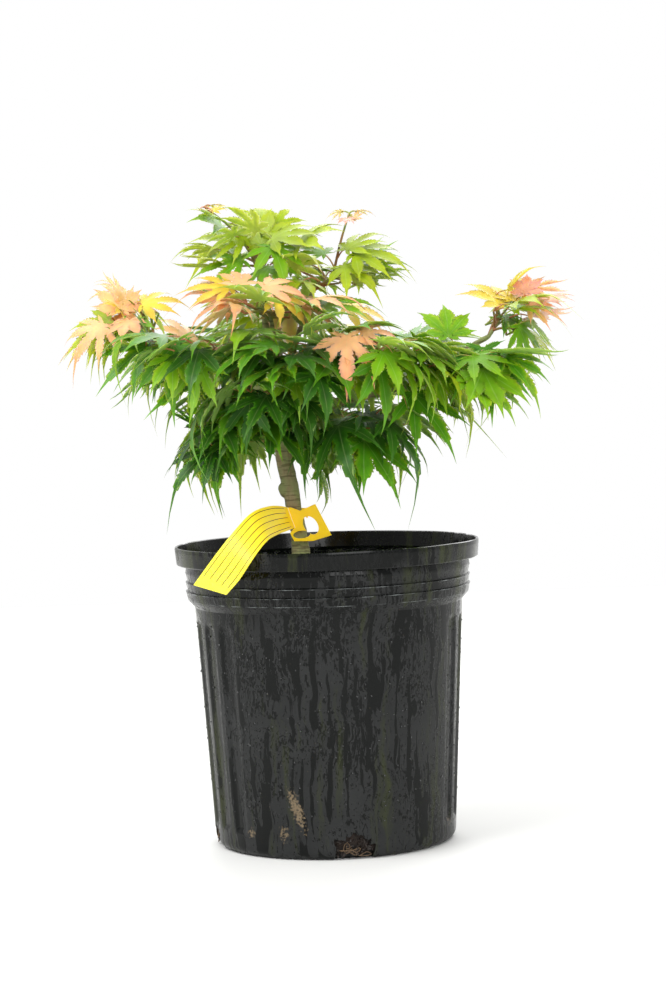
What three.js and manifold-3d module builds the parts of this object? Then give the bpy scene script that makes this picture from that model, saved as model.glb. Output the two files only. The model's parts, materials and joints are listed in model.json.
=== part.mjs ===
// Potted japanese maple: a young grafted tree with layered, drooping leaves in a black nursery pot.
// Millimetres, +Z up. The origin is the centre of the pot's flat underside, and -Y is the front.
import * as THREE from "three";
import { mergeVertices } from "three/addons/utils/BufferGeometryUtils.js";
import Module from "manifold-3d";

const wasm = await Module();
wasm.setup();

// Clearance that neighbouring solids keep, the distance under which two corners are merged, and the finer
// one within which corners have to meet for a solid to be closed.
const GAP = 0.3;
const SAME_CORNER = 1e-3;
const FINE_CORNER = 1e-4;
const DEGREE = Math.PI / 180;

// Nursery pot: a thin blow-moulded shell with a plain rim, three rings under it and a tapering body.
const POT_HEIGHT = 162;
const RIM_RADIUS = 82.5;
const RIM_HEIGHT = 10;
const RIM_TAPER = 1.3;
const POT_WALL = 1.6;
const FLOOR_THICKNESS = 2;
const RING_COUNT = 3;
const RING_HEIGHT = 4.9;
const RING_RADIUS = 76.8;
const RING_DEPTH = 1;
const RINGS_TOP = 148;
const RING_LIP = 0.6;
const RIM_LIP = 1.2;
const RIM_BEVEL = 0.5;
const SHOULDER_HEIGHT = 4.3;
const BODY_TOP_RADIUS = 72.3;
const BODY_FOOT_RADIUS = 65.2;
const FOOT_ROUNDING = 5;
const FOOT_ROUNDING_STEPS = 3;
const POT_SEGMENTS = 40;

// Heights that follow from those: the rim's underside, and the sloping shoulder under the rings.
const RIM_FOOT = POT_HEIGHT - RIM_HEIGHT;
const SHOULDER_TOP = RINGS_TOP - RING_COUNT * RING_HEIGHT;
const SHOULDER_FOOT = SHOULDER_TOP - SHOULDER_HEIGHT;

// The body is smooth in front and behind; each side has arch-topped flutes pressed into it.
const POT_TURN = 8;
const FLUTES_A_SIDE = 6;
const FLUTE_PITCH = 13;
const FLUTE_WIDTH = 10;
const FLUTE_DEPTH = 0.8;
const FLUTE_FOOT = 13;
const FLUTE_TOP = 122;
const FLUTE_ARC_STEPS = 3;
const CUTTER_DEPTH = 7;
const DRAIN_COUNT = 4;
const DRAIN_WIDTH = 20;
const DRAIN_HEIGHT = 12.5;

// Potting mix, which fills the pot to below its rim and is level round the trunk.
const SOIL_EDGE = 143.5;
const SOIL_TOP = 146;
const SOIL_LEVEL_RADIUS = 14;

// The trunk leans left as it rises, from a flared foot on the soil to its fork. A callus stands out on
// its left, where the graft was made.
const TRUNK_PATH = [
  [-14, 0, SOIL_TOP + GAP],
  [-14, 0, 151],
  [-14.4, 0, 160],
  [-15.2, 0, 170],
  [-17.2, 0, 181],
  [-18.6, 0, 192],
  [-20.9, 0, 204],
  [-22, 0, 216],
  [-22, 0, 231],
];
const TRUNK_RADII = [7.4, 5.6, 4.7, 4.3, 4.2, 4.5, 4.6, 4.4, 3.9];
const TRUNK_SIDES = 12;
const TRUNK_STEPS = 14;
const CALLUS_CENTRE = [-21.6, -0.8, 190.5];
const CALLUS_SIZE = [3.4, 3.6, 4.6];
const CALLUS_DETAIL = 1;

// Each bough leaves its parent at the first point of its path and tapers to where its leaves begin.
const BOUGH_SIDES = 6;
const BOUGH_STEPS = 6;
const BOUGHS = {
  right_bough: {
    parent: "trunk",
    path: [[-22, 0, 223], [13, -6, 238], [37, -8, 242], [66, -8, 256], [88, -6, 268]],
    radii: [2.9, 1.4],
  },
  right_front_bough: {
    parent: "right_bough",
    path: [[5, -5, 235], [20, -18, 246], [26, -28, 254]],
    radii: [1.8, 1.2],
  },
  left_bough: {
    parent: "trunk",
    path: [[-22, 0, 220], [-40, -4, 246], [-64, -8, 264], [-84, -8, 273]],
    radii: [2.8, 1.4],
  },
  left_front_bough: {
    parent: "left_bough",
    path: [[-40, -4, 246], [-50, -17, 257], [-55, -24, 261]],
    radii: [1.7, 1.2],
  },
  leader: {
    path: [[-22, 0, 231 + GAP], [-22, 1, 244], [-27, 3, 266], [-31, 5, 300]],
    radii: [2.9, 1.6],
  },
  leader_right: {
    parent: "leader",
    path: [[-22, 1, 246], [-12, 6, 272], [-4, 8, 294]],
    radii: [1.9, 1.3],
  },
  front_bough: {
    parent: "leader",
    path: [[-22.7, 1.5, 252], [-24, -12, 266], [-25, -20, 278]],
    radii: [1.8, 1.2],
  },
  middle_bough: {
    parent: "trunk",
    path: [[-22, 0, 217], [-16, -14, 240], [-12, -24, 249]],
    radii: [2, 1.3],
  },
  back_left_bough: {
    parent: "trunk",
    path: [[-22, 0, 225], [-36, 26, 246], [-52, 48, 256]],
    radii: [2.4, 1.3],
  },
  back_right_bough: {
    parent: "trunk",
    path: [[-22, 0, 228], [2, 26, 246], [24, 48, 254]],
    radii: [2.4, 1.3],
  },
  back_bough: {
    parent: "leader",
    path: [[-22.5, 1.3, 250], [-22, 18, 268], [-22, 30, 280]],
    radii: [1.8, 1.2],
  },
};

// Leaf masses, in the order in which they grow. A mass has one stem, from the tip of its limb or out of
// its parent at "from", to its heart. Its shoots spread round the heart in turn, the first facing "faces"
// degrees from the right towards the back, and each ends in an opposite pair of leaves. Rise and hang are
// degrees, from the first shoot to the last: how far a shoot climbs, and how far its leaves point down.
const MASSES = [
  {
    name: "leaves_left_tip",
    limb: "left_bough",
    heart: [-98, -8, 283],
    spread: [15, 18, 18],
    pairs: 16,
    faces: 150,
    rise: [75, -60],
    hang: [-8, 62],
    leaf: [25, 34],
    seed: 11,
    colour: 0xd9a45a,
  },
  {
    name: "leaves_right_tip",
    limb: "right_bough",
    heart: [98, -5, 280],
    spread: [13, 18, 18],
    pairs: 9,
    faces: 60,
    rise: [70, -50],
    hang: [-8, 62],
    leaf: [24, 32],
    seed: 19,
    colour: 0xd8b534,
  },
  {
    name: "leaves_centre_front",
    limb: "front_bough",
    heart: [-26, -30, 286],
    spread: [22, 14, 8],
    pairs: 14,
    faces: 200,
    rise: [40, -30],
    hang: [-5, 40],
    leaf: [24, 34],
    seed: 20,
    colour: 0xd79a4c,
  },
  {
    name: "leaves_top_left",
    limb: "leader",
    heart: [-34, 5, 318],
    spread: [20, 18, 20],
    pairs: 11,
    faces: 40,
    rise: [80, -45],
    hang: [-35, 40],
    leaf: [24, 34],
    seed: 21,
    colour: 0x9fbe1a,
    sprigs: [[-60, 6, 344]],
  },
  {
    name: "leaves_top_right",
    limb: "leader_right",
    heart: [8, 6, 304],
    spread: [18, 18, 12],
    pairs: 11,
    faces: 0,
    rise: [50, -40],
    hang: [-12, 40],
    leaf: [24, 34],
    seed: 22,
    colour: 0x9ccc4a,
    sprigs: [[18, 4, 338]],
  },
  {
    name: "leaves_lower_left",
    parent: "trunk",
    from: [-21.8, 0, 210],
    heart: [-48, -4, 222],
    spread: [22, 20, 14],
    pairs: 13,
    faces: 200,
    rise: [40, -50],
    hang: [40, 78],
    leaf: [34, 44],
    seed: 13,
    colour: 0x2f6b14,
  },
  {
    name: "leaves_lower_right",
    parent: "trunk",
    from: [-21.8, 0, 212],
    heart: [16, -8, 221],
    spread: [26, 22, 14],
    pairs: 14,
    faces: 330,
    rise: [40, -50],
    hang: [40, 80],
    leaf: [34, 44],
    seed: 15,
    colour: 0x2f6f14,
  },
  {
    name: "leaves_lower_front",
    parent: "trunk",
    from: [-22, 0, 219],
    heart: [-34, -30, 240],
    spread: [22, 14, 10],
    pairs: 18,
    faces: 260,
    rise: [30, -50],
    hang: [40, 80],
    leaf: [28, 38],
    seed: 14,
    colour: 0x2a6312,
  },
  {
    name: "leaves_lower_back",
    parent: "trunk",
    from: [-22, 0, 216],
    heart: [-18, 42, 228],
    spread: [30, 16, 12],
    pairs: 8,
    faces: 90,
    rise: [30, -50],
    hang: [42, 76],
    leaf: [34, 44],
    seed: 16,
    colour: 0x2f6b14,
  },
  {
    name: "leaves_right_front",
    limb: "right_front_bough",
    heart: [30, -38, 260],
    spread: [20, 16, 12],
    pairs: 14,
    faces: 270,
    rise: [50, -50],
    hang: [20, 76],
    leaf: [28, 38],
    seed: 17,
    colour: 0x6fa51c,
  },
  {
    name: "leaves_middle_front",
    limb: "middle_bough",
    heart: [-12, -36, 261],
    spread: [26, 16, 16],
    pairs: 18,
    faces: 265,
    rise: [40, -50],
    hang: [25, 76],
    leaf: [28, 38],
    seed: 31,
    colour: 0x3f8216,
  },
  {
    name: "leaves_left_front",
    limb: "left_front_bough",
    heart: [-60, -30, 264],
    spread: [24, 18, 14],
    pairs: 18,
    faces: 250,
    rise: [40, -50],
    hang: [20, 74],
    leaf: [28, 38],
    seed: 12,
    colour: 0x4f8f1d,
  },
  {
    name: "leaves_right_middle",
    parent: "right_bough",
    from: [40, -8, 243],
    heart: [66, -26, 250],
    spread: [26, 12, 14],
    pairs: 18,
    faces: 280,
    rise: [50, -50],
    hang: [30, 76],
    leaf: [28, 38],
    seed: 18,
    colour: 0x4c9016,
  },
  {
    name: "leaves_back_left",
    limb: "back_left_bough",
    heart: [-62, 56, 264],
    spread: [26, 22, 16],
    pairs: 12,
    faces: 130,
    rise: [50, -50],
    hang: [10, 70],
    leaf: [32, 42],
    seed: 23,
    colour: 0x5c9a1c,
  },
  {
    name: "leaves_back_right",
    limb: "back_right_bough",
    heart: [32, 56, 260],
    spread: [28, 22, 16],
    pairs: 9,
    faces: 50,
    rise: [50, -50],
    hang: [10, 70],
    leaf: [32, 42],
    seed: 24,
    colour: 0x5c9a1c,
  },
  {
    name: "leaves_back_top",
    limb: "back_bough",
    heart: [-20, 46, 284],
    spread: [24, 18, 12],
    pairs: 9,
    faces: 90,
    rise: [40, -40],
    hang: [5, 60],
    leaf: [28, 38],
    seed: 25,
    colour: 0x86ab1c,
  },
];

// The growing rule: turns between shoots, the pair's spread, and the twigs' and petioles' sizes.
const GOLDEN_ANGLE = 137.5;
const GOLDEN_SHARE = 0.618;
const TURN_SCATTER = 24;
const HANG_SCATTER = 20;
const PAIR_ANGLE = 42;
const ROLL_SCATTER = 30;
const PETIOLE_SHARE = 0.42;
const PETIOLE_RISE = 12;
const STEM_RADIUS = 1.6;
const STEM_ARCH = 2;
const STEM_STRAIGHT = 3;
const STEM_STEPS = 3;
const TWIG_RADIUS = 0.9;
const NECK_LENGTH = 3 * TWIG_RADIUS;
const SHOOT_SIDES = 3;
const CROWN_AXIS = [-20, 0, 0];
const CROWN_REACH = 50;
const NEAREST_SHOOT = 0.35;
const SHOOTS_START = 0.3;
const SPRIG_LEAF = 10;
const SPRIG_LEAVES = 2;
const SPRIG_SCATTER = 60;
const CURL_RANGE = [0.7, 1.3];
const LOWEST_TIP = 167;

// A leaf: palmate lobes on either side of the middle one, with lengths as shares of the middle lobe.
const LOBE_TURN = 38;
const LOBE_SHARES = [1, 0.88, 0.62];
const LOBE_HALF_WIDTH = 0.13;
const LOBE_WIDEST = 0.5;
const SINUS_SHARE = 0.28;
const BASE_SHARE = 0.05;
const LEAF_THICKNESS = 1.1;
const ROOMY_THICKNESS = LEAF_THICKNESS + 2 * GAP;
const LEAF_FOLD = 0.04;
const LEAF_CURL = 0.3;

// Loop label: a yellow plastic strip whose pierced head is looped round the trunk.
const LABEL_THICKNESS = 0.8;
const LABEL_STEPS = 10;
const LABEL_UPPER_EDGE = [
  [-12, -8.2, 181.2],
  [-18, -8, 181],
  [-34.5, -40, 182.3],
  [-41, -66, 178.3],
  [-46, -72, 174],
  [-57.6, -70, 161],
  [-69, -63, 146],
];
const LABEL_LOWER_EDGE = [
  [-12, -10.5, 166.5],
  [-18, -11, 167],
  [-28, -48, 166.5],
  [-32, -76.5, 163.8],
  [-36, -80.5, 159.8],
  [-44.5, -77.5, 149],
  [-52, -70.5, 141],
];
const LABEL_HEAD = [
  [-18, 181],
  [-4.5, 182.2],
  [2.5, 165],
  [-17, 166],
];
const LABEL_HEAD_FRONT = -9.2;
const LABEL_HOLE = [-6.6, 171.6];
const LABEL_HOLE_RADII = [4, 5.6];
const LABEL_HOLE_LEAN = -30;
const LABEL_LOOP_CENTRE = [-15.6, -1.8];
const LABEL_LOOP_RADIUS = 6.7;
const LABEL_LOOP_FOOT = 167;
const LABEL_LOOP_TOP = 180.5;
const LABEL_LOOP_SIDES = 16;

// Colour and roughness of each kind of piece; a mass of leaves has its own colour.
const POT_FINISH = [0x2b2d2e, 0.35];
const SOIL_FINISH = [0x3a2a1e, 1];
const TRUNK_FINISH = [0x6f6a4c, 0.85];
const BOUGH_FINISH = [0x6a5a3c, 0.8];
const LABEL_FINISH = [0xf5d21c, 0.4];
const LEAF_ROUGHNESS = 0.5;

function vector(point) {
  return new THREE.Vector3(...point);
}

function mix(start, end, share) {
  return start + (end - start) * share;
}

// A closed geometry as a solid, with collapsed triangles left out and its faces turned outwards.
function solidFrom(geometry) {
  const bare = new THREE.BufferGeometry();
  bare.setAttribute("position", geometry.getAttribute("position"));
  if (geometry.index) bare.setIndex(geometry.index);
  const merged = mergeVertices(bare, SAME_CORNER);
  const triangles = [];
  const corners = merged.index.array;
  for (let i = 0; i < corners.length; i += 3) {
    const [a, b, c] = [corners[i], corners[i + 1], corners[i + 2]];
    if (a !== b && b !== c && c !== a) triangles.push([a, b, c]);
  }
  const build = (faces) =>
    new wasm.Manifold(
      new wasm.Mesh({
        numProp: 3,
        vertProperties: merged.attributes.position.array,
        triVerts: new Uint32Array(faces.flat()),
      }),
    );
  const solid = build(triangles);
  return solid.volume() > 0 ? solid : build(triangles.map(([a, b, c]) => [a, c, b]));
}

function geometryFrom(solid) {
  const mesh = solid.getMesh();
  const geometry = new THREE.BufferGeometry();
  geometry.setAttribute("position", new THREE.BufferAttribute(mesh.vertProperties, 3));
  geometry.setIndex(new THREE.BufferAttribute(mesh.triVerts, 1));
  geometry.computeVertexNormals();
  return geometry;
}

// The largest body of a solid: loose scraps go, and a hollow sealed by joining is filled.
function mainBody(solid) {
  const bodies = solid.decompose();
  return bodies.reduce((largest, body) => (body.volume() > largest.volume() ? body : largest));
}

// Two solids as one body, after corners that are nearly one have been merged.
function joined(one, other) {
  return mainBody(solidFrom(geometryFrom(mainBody(one.add(other)))));
}

// Whether each edge of a solid has two faces, with corners in one cell of a grid taken as one.
function closesOnGrid(solid, cell) {
  const { vertProperties, triVerts } = solid.getMesh();
  const corner = (n) => {
    const place = vertProperties.subarray(3 * triVerts[n], 3 * triVerts[n] + 3);
    return Array.from(place, (value) => Math.round(value / cell)).join(" ");
  };
  const uses = new Map();
  for (let n = 0; n < triVerts.length; n += 3) {
    const [a, b, c] = [corner(n), corner(n + 1), corner(n + 2)];
    if (a === b || b === c || c === a) continue;
    for (const ends of [[a, b], [b, c], [c, a]]) {
      const edge = ends.sort().join("|");
      uses.set(edge, (uses.get(edge) ?? 0) + 1);
    }
  }
  return [...uses.values()].every((count) => count === 2);
}

// Whether a solid stays one closed body when its corners are merged again.
function isSound(solid) {
  const again = solidFrom(geometryFrom(solid));
  if (again.decompose().length > 1) return false;
  return closesOnGrid(solid, FINE_CORNER) && closesOnGrid(again, FINE_CORNER);
}

const tree = new THREE.Group();

function addPiece(name, solid, [color, roughness]) {
  const material = new THREE.MeshStandardMaterial({ color, roughness, metalness: 0 });
  const piece = new THREE.Mesh(geometryFrom(solid), material);
  piece.name = name;
  tree.add(piece);
}

// A solid of revolution about +Z through points of [radius, height].
function turnedSolid(profile, segments) {
  const points = profile.map(([radius, height]) => new THREE.Vector2(radius, height));
  const geometry = new THREE.LatheGeometry(points, segments);
  geometry.rotateX(90 * DEGREE);
  return solidFrom(geometry);
}

// An outline of [x, y] points pushed out by depth along the outline's normal.
function plateSolid(shape, depth, place) {
  const geometry = new THREE.ExtrudeGeometry(shape, {
    depth,
    bevelEnabled: false,
    curveSegments: FLUTE_ARC_STEPS,
  });
  geometry.applyMatrix4(place);
  return solidFrom(geometry);
}

// A frame whose third axis points straight out of the pot at an angle from the front, to the right.
function outwards(angle, radius, height) {
  const out = vector([Math.sin(angle * DEGREE), -Math.cos(angle * DEGREE), 0]);
  const up = vector([0, 0, 1]);
  const side = up.clone().cross(out);
  const place = new THREE.Matrix4().makeBasis(side, up, out);
  return place.setPosition(out.x * radius, out.y * radius, height);
}

function bodyRadius(height) {
  return mix(BODY_FOOT_RADIUS, BODY_TOP_RADIUS, height / SHOULDER_TOP);
}

// Radii of the pot's inside, less a clearance: the soil follows them.
function insideProfile(clearance) {
  return [
    [RING_RADIUS - RING_DEPTH - POT_WALL - clearance, SHOULDER_TOP],
    [BODY_TOP_RADIUS - POT_WALL - clearance, SHOULDER_FOOT - POT_WALL],
    [bodyRadius(FOOT_ROUNDING) - POT_WALL - clearance, FOOT_ROUNDING + clearance],
    [BODY_FOOT_RADIUS - FOOT_ROUNDING, FLOOR_THICKNESS + clearance],
    [0, FLOOR_THICKNESS + clearance],
  ];
}

// The shell's profile, up the outside from the middle of its foot and down the inside.
function potProfile() {
  const outside = [[0, 0]];
  for (let step = 0; step <= FOOT_ROUNDING_STEPS; step++) {
    const angle = (step / FOOT_ROUNDING_STEPS) * 90 * DEGREE;
    const radius = BODY_FOOT_RADIUS - FOOT_ROUNDING * (1 - Math.sin(angle));
    outside.push([radius, FOOT_ROUNDING * (1 - Math.cos(angle))]);
  }
  outside.push([BODY_TOP_RADIUS, SHOULDER_FOOT]);
  for (let ring = 0; ring < RING_COUNT; ring++) {
    const foot = SHOULDER_TOP + ring * RING_HEIGHT;
    outside.push([RING_RADIUS - RING_DEPTH, foot]);
    outside.push([RING_RADIUS, foot + RING_HEIGHT - RING_LIP]);
  }
  outside.push([RING_RADIUS, RIM_FOOT - RING_LIP]);
  outside.push([RIM_RADIUS - RIM_TAPER, RIM_FOOT]);
  outside.push([RIM_RADIUS, POT_HEIGHT - RIM_LIP]);
  outside.push([RIM_RADIUS - RIM_BEVEL, POT_HEIGHT]);
  const inside = [
    [RIM_RADIUS - POT_WALL, POT_HEIGHT],
    [RIM_RADIUS - RIM_TAPER - POT_WALL, RIM_FOOT + RIM_LIP],
    [RING_RADIUS - RING_DEPTH - POT_WALL, RIM_FOOT - RIM_LIP],
    ...insideProfile(0),
  ];
  return [...outside, ...inside];
}

// The pot: the turned shell, less the flutes in its sides and the drain holes at its foot.
function potSolid() {
  let pot = turnedSolid(potProfile(), POT_SEGMENTS);
  const flute = new THREE.Shape();
  flute.moveTo(-FLUTE_WIDTH / 2, FLUTE_FOOT);
  flute.lineTo(FLUTE_WIDTH / 2, FLUTE_FOOT);
  flute.lineTo(FLUTE_WIDTH / 2, FLUTE_TOP - FLUTE_WIDTH / 2);
  flute.absarc(0, FLUTE_TOP - FLUTE_WIDTH / 2, FLUTE_WIDTH / 2, 0, Math.PI, false);
  const lean = Math.atan2(BODY_TOP_RADIUS - BODY_FOOT_RADIUS, SHOULDER_TOP);
  const leanBack = new THREE.Matrix4().makeRotationX(lean);
  for (const side of [-90, 90]) {
    for (let number = 0; number < FLUTES_A_SIDE; number++) {
      const angle = POT_TURN + side + (number - (FLUTES_A_SIDE - 1) / 2) * FLUTE_PITCH;
      const place = outwards(angle, BODY_FOOT_RADIUS - FLUTE_DEPTH, 0).multiply(leanBack);
      pot = pot.subtract(plateSolid(flute, CUTTER_DEPTH, place));
    }
  }

  const drain = new THREE.Shape();
  drain.moveTo(-DRAIN_WIDTH / 2, -POT_WALL);
  drain.lineTo(DRAIN_WIDTH / 2, -POT_WALL);
  drain.lineTo(DRAIN_WIDTH / 2, DRAIN_HEIGHT / 2);
  drain.absellipse(0, DRAIN_HEIGHT / 2, DRAIN_WIDTH / 2, DRAIN_HEIGHT / 2, 0, Math.PI, false);
  for (let number = 0; number < DRAIN_COUNT; number++) {
    const angle = POT_TURN + (number * 360) / DRAIN_COUNT;
    const place = outwards(angle, BODY_FOOT_RADIUS - CUTTER_DEPTH, 0);
    pot = pot.subtract(plateSolid(drain, 2 * CUTTER_DEPTH, place));
  }
  return mainBody(pot);
}

function soilSolid() {
  const surface = [
    [0, SOIL_TOP],
    [SOIL_LEVEL_RADIUS, SOIL_TOP],
    [RING_RADIUS - RING_DEPTH - POT_WALL - GAP, SOIL_EDGE],
  ];
  return turnedSolid([...surface, ...insideProfile(GAP)].reverse(), POT_SEGMENTS);
}

// A tapering limb: rings round a smooth curve through its points, cut flat at both ends.
function limbSolid(path, radiusAt, sides, steps) {
  const curve = new THREE.CatmullRomCurve3(path);
  const frames = curve.computeFrenetFrames(steps, false);
  const corners = [];
  for (let step = 0; step <= steps; step++) {
    const centre = curve.getPointAt(step / steps);
    const radius = radiusAt(step / steps);
    for (let side = 0; side < sides; side++) {
      const angle = (side / sides) * 360 * DEGREE;
      const corner = centre.clone();
      corner.addScaledVector(frames.normals[step], Math.cos(angle) * radius);
      corner.addScaledVector(frames.binormals[step], Math.sin(angle) * radius);
      corners.push(corner);
    }
  }
  const faces = [];
  for (let step = 0; step < steps; step++) {
    for (let side = 0; side < sides; side++) {
      const next = (side + 1) % sides;
      const [a, b] = [step * sides + side, step * sides + next];
      faces.push([a, b, b + sides], [a, b + sides, a + sides]);
    }
  }
  for (let side = 1; side < sides - 1; side++) {
    const top = steps * sides;
    faces.push([0, side + 1, side], [top, top + side, top + side + 1]);
  }
  return solidFrom(facesGeometry(corners, faces));
}

function facesGeometry(corners, faces) {
  const geometry = new THREE.BufferGeometry().setFromPoints(corners);
  geometry.setIndex(faces.flat());
  return geometry;
}

// A solid cut clear of limbs, whose grown solids are a clearance fatter than the limbs themselves.
function clearOf(others, solid) {
  return mainBody(others.reduce((rest, limb) => rest.subtract(limb.grown), solid));
}

// A limb as others need it: its solid and grown solid, and where and which way it ends.
function makeLimb(path, radiusAt, sides, steps, earlier) {
  const points = path.map(vector);
  const solid = clearOf(earlier, limbSolid(points, radiusAt, sides, steps));
  const grown = limbSolid(points, (share) => radiusAt(share) + GAP, sides, steps);
  const heading = new THREE.CatmullRomCurve3(points).getTangentAt(1);
  return { solid, grown, tip: points[points.length - 1], tipRadius: radiusAt(1), heading };
}

function radiiAlong(radii) {
  return (share) => {
    const place = share * (radii.length - 1);
    const before = Math.min(Math.floor(place), radii.length - 2);
    return mix(radii[before], radii[before + 1], place - before);
  };
}

// The trunk's radii belong to the points of its path, which lie at uneven distances along it.
function trunkRadius(share) {
  const foot = TRUNK_PATH[0][2];
  const height = mix(foot, TRUNK_PATH[TRUNK_PATH.length - 1][2], share);
  let above = 1;
  while (above < TRUNK_PATH.length - 1 && TRUNK_PATH[above][2] < height) above++;
  const [low, high] = [TRUNK_PATH[above - 1][2], TRUNK_PATH[above][2]];
  return mix(TRUNK_RADII[above - 1], TRUNK_RADII[above], (height - low) / (high - low));
}

function trunkLimb() {
  const trunk = makeLimb(TRUNK_PATH, trunkRadius, TRUNK_SIDES, TRUNK_STEPS, []);
  const callus = new THREE.IcosahedronGeometry(1, CALLUS_DETAIL);
  callus.scale(...CALLUS_SIZE);
  callus.translate(...CALLUS_CENTRE);
  trunk.solid = trunk.solid.add(solidFrom(callus));
  return trunk;
}

// Repeatable numbers from 0 to 1.
function seededRandom(seed) {
  let state = seed >>> 0;
  return () => {
    state = (state + 0x6d2b79f5) >>> 0;
    let mixed = Math.imul(state ^ (state >>> 15), state | 1);
    mixed ^= mixed + Math.imul(mixed ^ (mixed >>> 7), mixed | 61);
    return ((mixed ^ (mixed >>> 14)) >>> 0) / 4294967296;
  };
}

function heading(turn, climb) {
  const level = Math.cos(climb * DEGREE);
  return vector([
    level * Math.cos(turn * DEGREE),
    level * Math.sin(turn * DEGREE),
    Math.sin(climb * DEGREE),
  ]);
}

// One leaf: where its blade starts, which way its middle lobe points, and its upper side.
function placeLeaf(base, turn, hang, roll, length, curl) {
  const along = heading(turn, -hang);
  const level = heading(turn + 90, 0);
  const up = along.clone().cross(level);
  const side = level.clone();
  side.applyAxisAngle(along, roll * DEGREE);
  up.applyAxisAngle(along, roll * DEGREE);
  return { base, along, side, up, length, curl };
}

// A point of a leaf, given along and beside its middle lobe as shares of its length.
function leafPoint(leaf, along, beside, lift = 0) {
  const drop = leaf.curl * (along * along + beside * beside);
  const point = leaf.base.clone();
  point.addScaledVector(leaf.along, along * leaf.length);
  point.addScaledVector(leaf.side, beside * leaf.length);
  point.addScaledVector(leaf.up, (lift - drop) * leaf.length);
  return point;
}

// The outline of a leaf's lobes, lobe by lobe: sinus, widest, tip, widest; and the last sinus.
function leafOutline(leaf) {
  const most = LOBE_SHARES.length - 1;
  const outline = [];
  const at = (turn, along, beside, lift) => {
    const [cos, sin] = [Math.cos(turn * DEGREE), Math.sin(turn * DEGREE)];
    return leafPoint(leaf, along * cos - beside * sin, along * sin + beside * cos, lift);
  };
  for (let lobe = -most; lobe <= most; lobe++) {
    const share = LOBE_SHARES[Math.abs(lobe)];
    const turn = lobe * LOBE_TURN;
    if (lobe === -most) outline.push(at(turn - LOBE_TURN, BASE_SHARE, 0, 0));
    else outline.push(at(turn - LOBE_TURN / 2, SINUS_SHARE * share, 0, 0));
    outline.push(at(turn, share * LOBE_WIDEST, -share * LOBE_HALF_WIDTH, LEAF_FOLD));
    outline.push(at(turn, share, 0, 0));
    outline.push(at(turn, share * LOBE_WIDEST, share * LOBE_HALF_WIDTH, LEAF_FOLD));
  }
  outline.push(at((most + 1) * LOBE_TURN, BASE_SHARE, 0, 0));
  return outline;
}

// A blade, thickest at its middle, and the opening under its base where the petiole joins it.
function bladeFaces(leaf, thickness, corners, faces) {
  const outline = leafOutline(leaf);
  const half = thickness / 2 / leaf.length;
  const first = corners.length;
  corners.push(...outline, leafPoint(leaf, 0, 0, half), leafPoint(leaf, 0, 0, -half));
  const [last, over, under] = [first, first + 1, first + 2].map((n) => n + outline.length - 1);
  for (let place = first; place < last; place++) {
    faces.push([over, place, place + 1], [under, place + 1, place]);
  }
  faces.push([over, last, first]);
  return [under, first, last];
}

function bladeSolid(leaf, thickness) {
  const [corners, faces] = [[], []];
  faces.push(bladeFaces(leaf, thickness, corners, faces));
  return solidFrom(facesGeometry(corners, faces));
}

// A three-sided tube from one opening to another, joined where their corners lie best.
function petioleFaces(port, opening, corners, faces) {
  const centred = (trio) => {
    const middle = trio.reduce((sum, n) => sum.add(corners[n]), vector([0, 0, 0])).divideScalar(3);
    return trio.map((n) => corners[n].clone().sub(middle).normalize());
  };
  const facing = [opening[0], opening[2], opening[1]];
  const [here, there] = [centred(port), centred(facing)];
  const fits = [0, 1, 2].map((turn) =>
    here.reduce((sum, corner, n) => sum + corner.dot(there[(n + turn) % 3]), 0),
  );
  const turn = fits.indexOf(Math.max(...fits));
  for (let n = 0; n < 3; n++) {
    const [a, b] = [port[n], port[(n + 1) % 3]];
    const [x, y] = [facing[(n + turn) % 3], facing[(n + 1 + turn) % 3]];
    faces.push([a, b, y], [a, y, x]);
  }
}

// A shoot: a three-sided twig with its leaves on petioles, the first out of the twig's end and the
// second out of its side.
function shootSolid(from, end, leaves, thickness = LEAF_THICKNESS) {
  const along = end.clone().sub(from).normalize();
  const second = leaves[1] ?? leaves[0];
  const face = second.base.clone().sub(end);
  face.addScaledVector(along, -face.dot(along)).normalize();
  const side = along.clone().cross(face);
  const corners = [];
  const neck = end.clone().addScaledVector(along, -NECK_LENGTH);
  for (const centre of [from, neck, end]) {
    for (let n = 0; n < SHOOT_SIDES; n++) {
      const angle = ((n + 0.5) * 360 * DEGREE) / SHOOT_SIDES;
      const corner = centre.clone().addScaledVector(face, Math.cos(angle) * TWIG_RADIUS);
      corners.push(corner.addScaledVector(side, Math.sin(angle) * TWIG_RADIUS));
    }
  }
  const tube = [];
  for (const ring of [0, SHOOT_SIDES]) {
    for (let n = 0; n < SHOOT_SIDES; n++) {
      const [a, b] = [ring + n, ring + ((n + 1) % SHOOT_SIDES)];
      tube.push([a, b + SHOOT_SIDES, a + SHOOT_SIDES], [a, b, b + SHOOT_SIDES]);
    }
  }
  const root = [0, 2, 1];
  const tip = [2 * SHOOT_SIDES, 2 * SHOOT_SIDES + 1, 2 * SHOOT_SIDES + 2];
  const besideTip = tube[tube.length - 1];
  const openings = [tip, besideTip].slice(0, leaves.length);
  const faces = [root, tip, ...tube].filter((face) => !openings.includes(face));
  leaves.forEach((leaf, n) => {
    petioleFaces(openings[n], bladeFaces(leaf, thickness, corners, faces), corners, faces);
  });
  return solidFrom(facesGeometry(corners, faces));
}

// What has grown so far, with the mass that it belongs to: others may not touch it.
const grown = [];

function boxesMeet(a, b) {
  return [0, 1, 2].every((n) => a.min[n] < b.max[n] && b.min[n] < a.max[n]);
}

function boxed(solid, mass) {
  return { solid, mass, box: solid.boundingBox() };
}

function touches(one, other) {
  return boxesMeet(one.box, other.box) && one.solid.intersect(other.solid).numTri() > 0;
}

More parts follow.
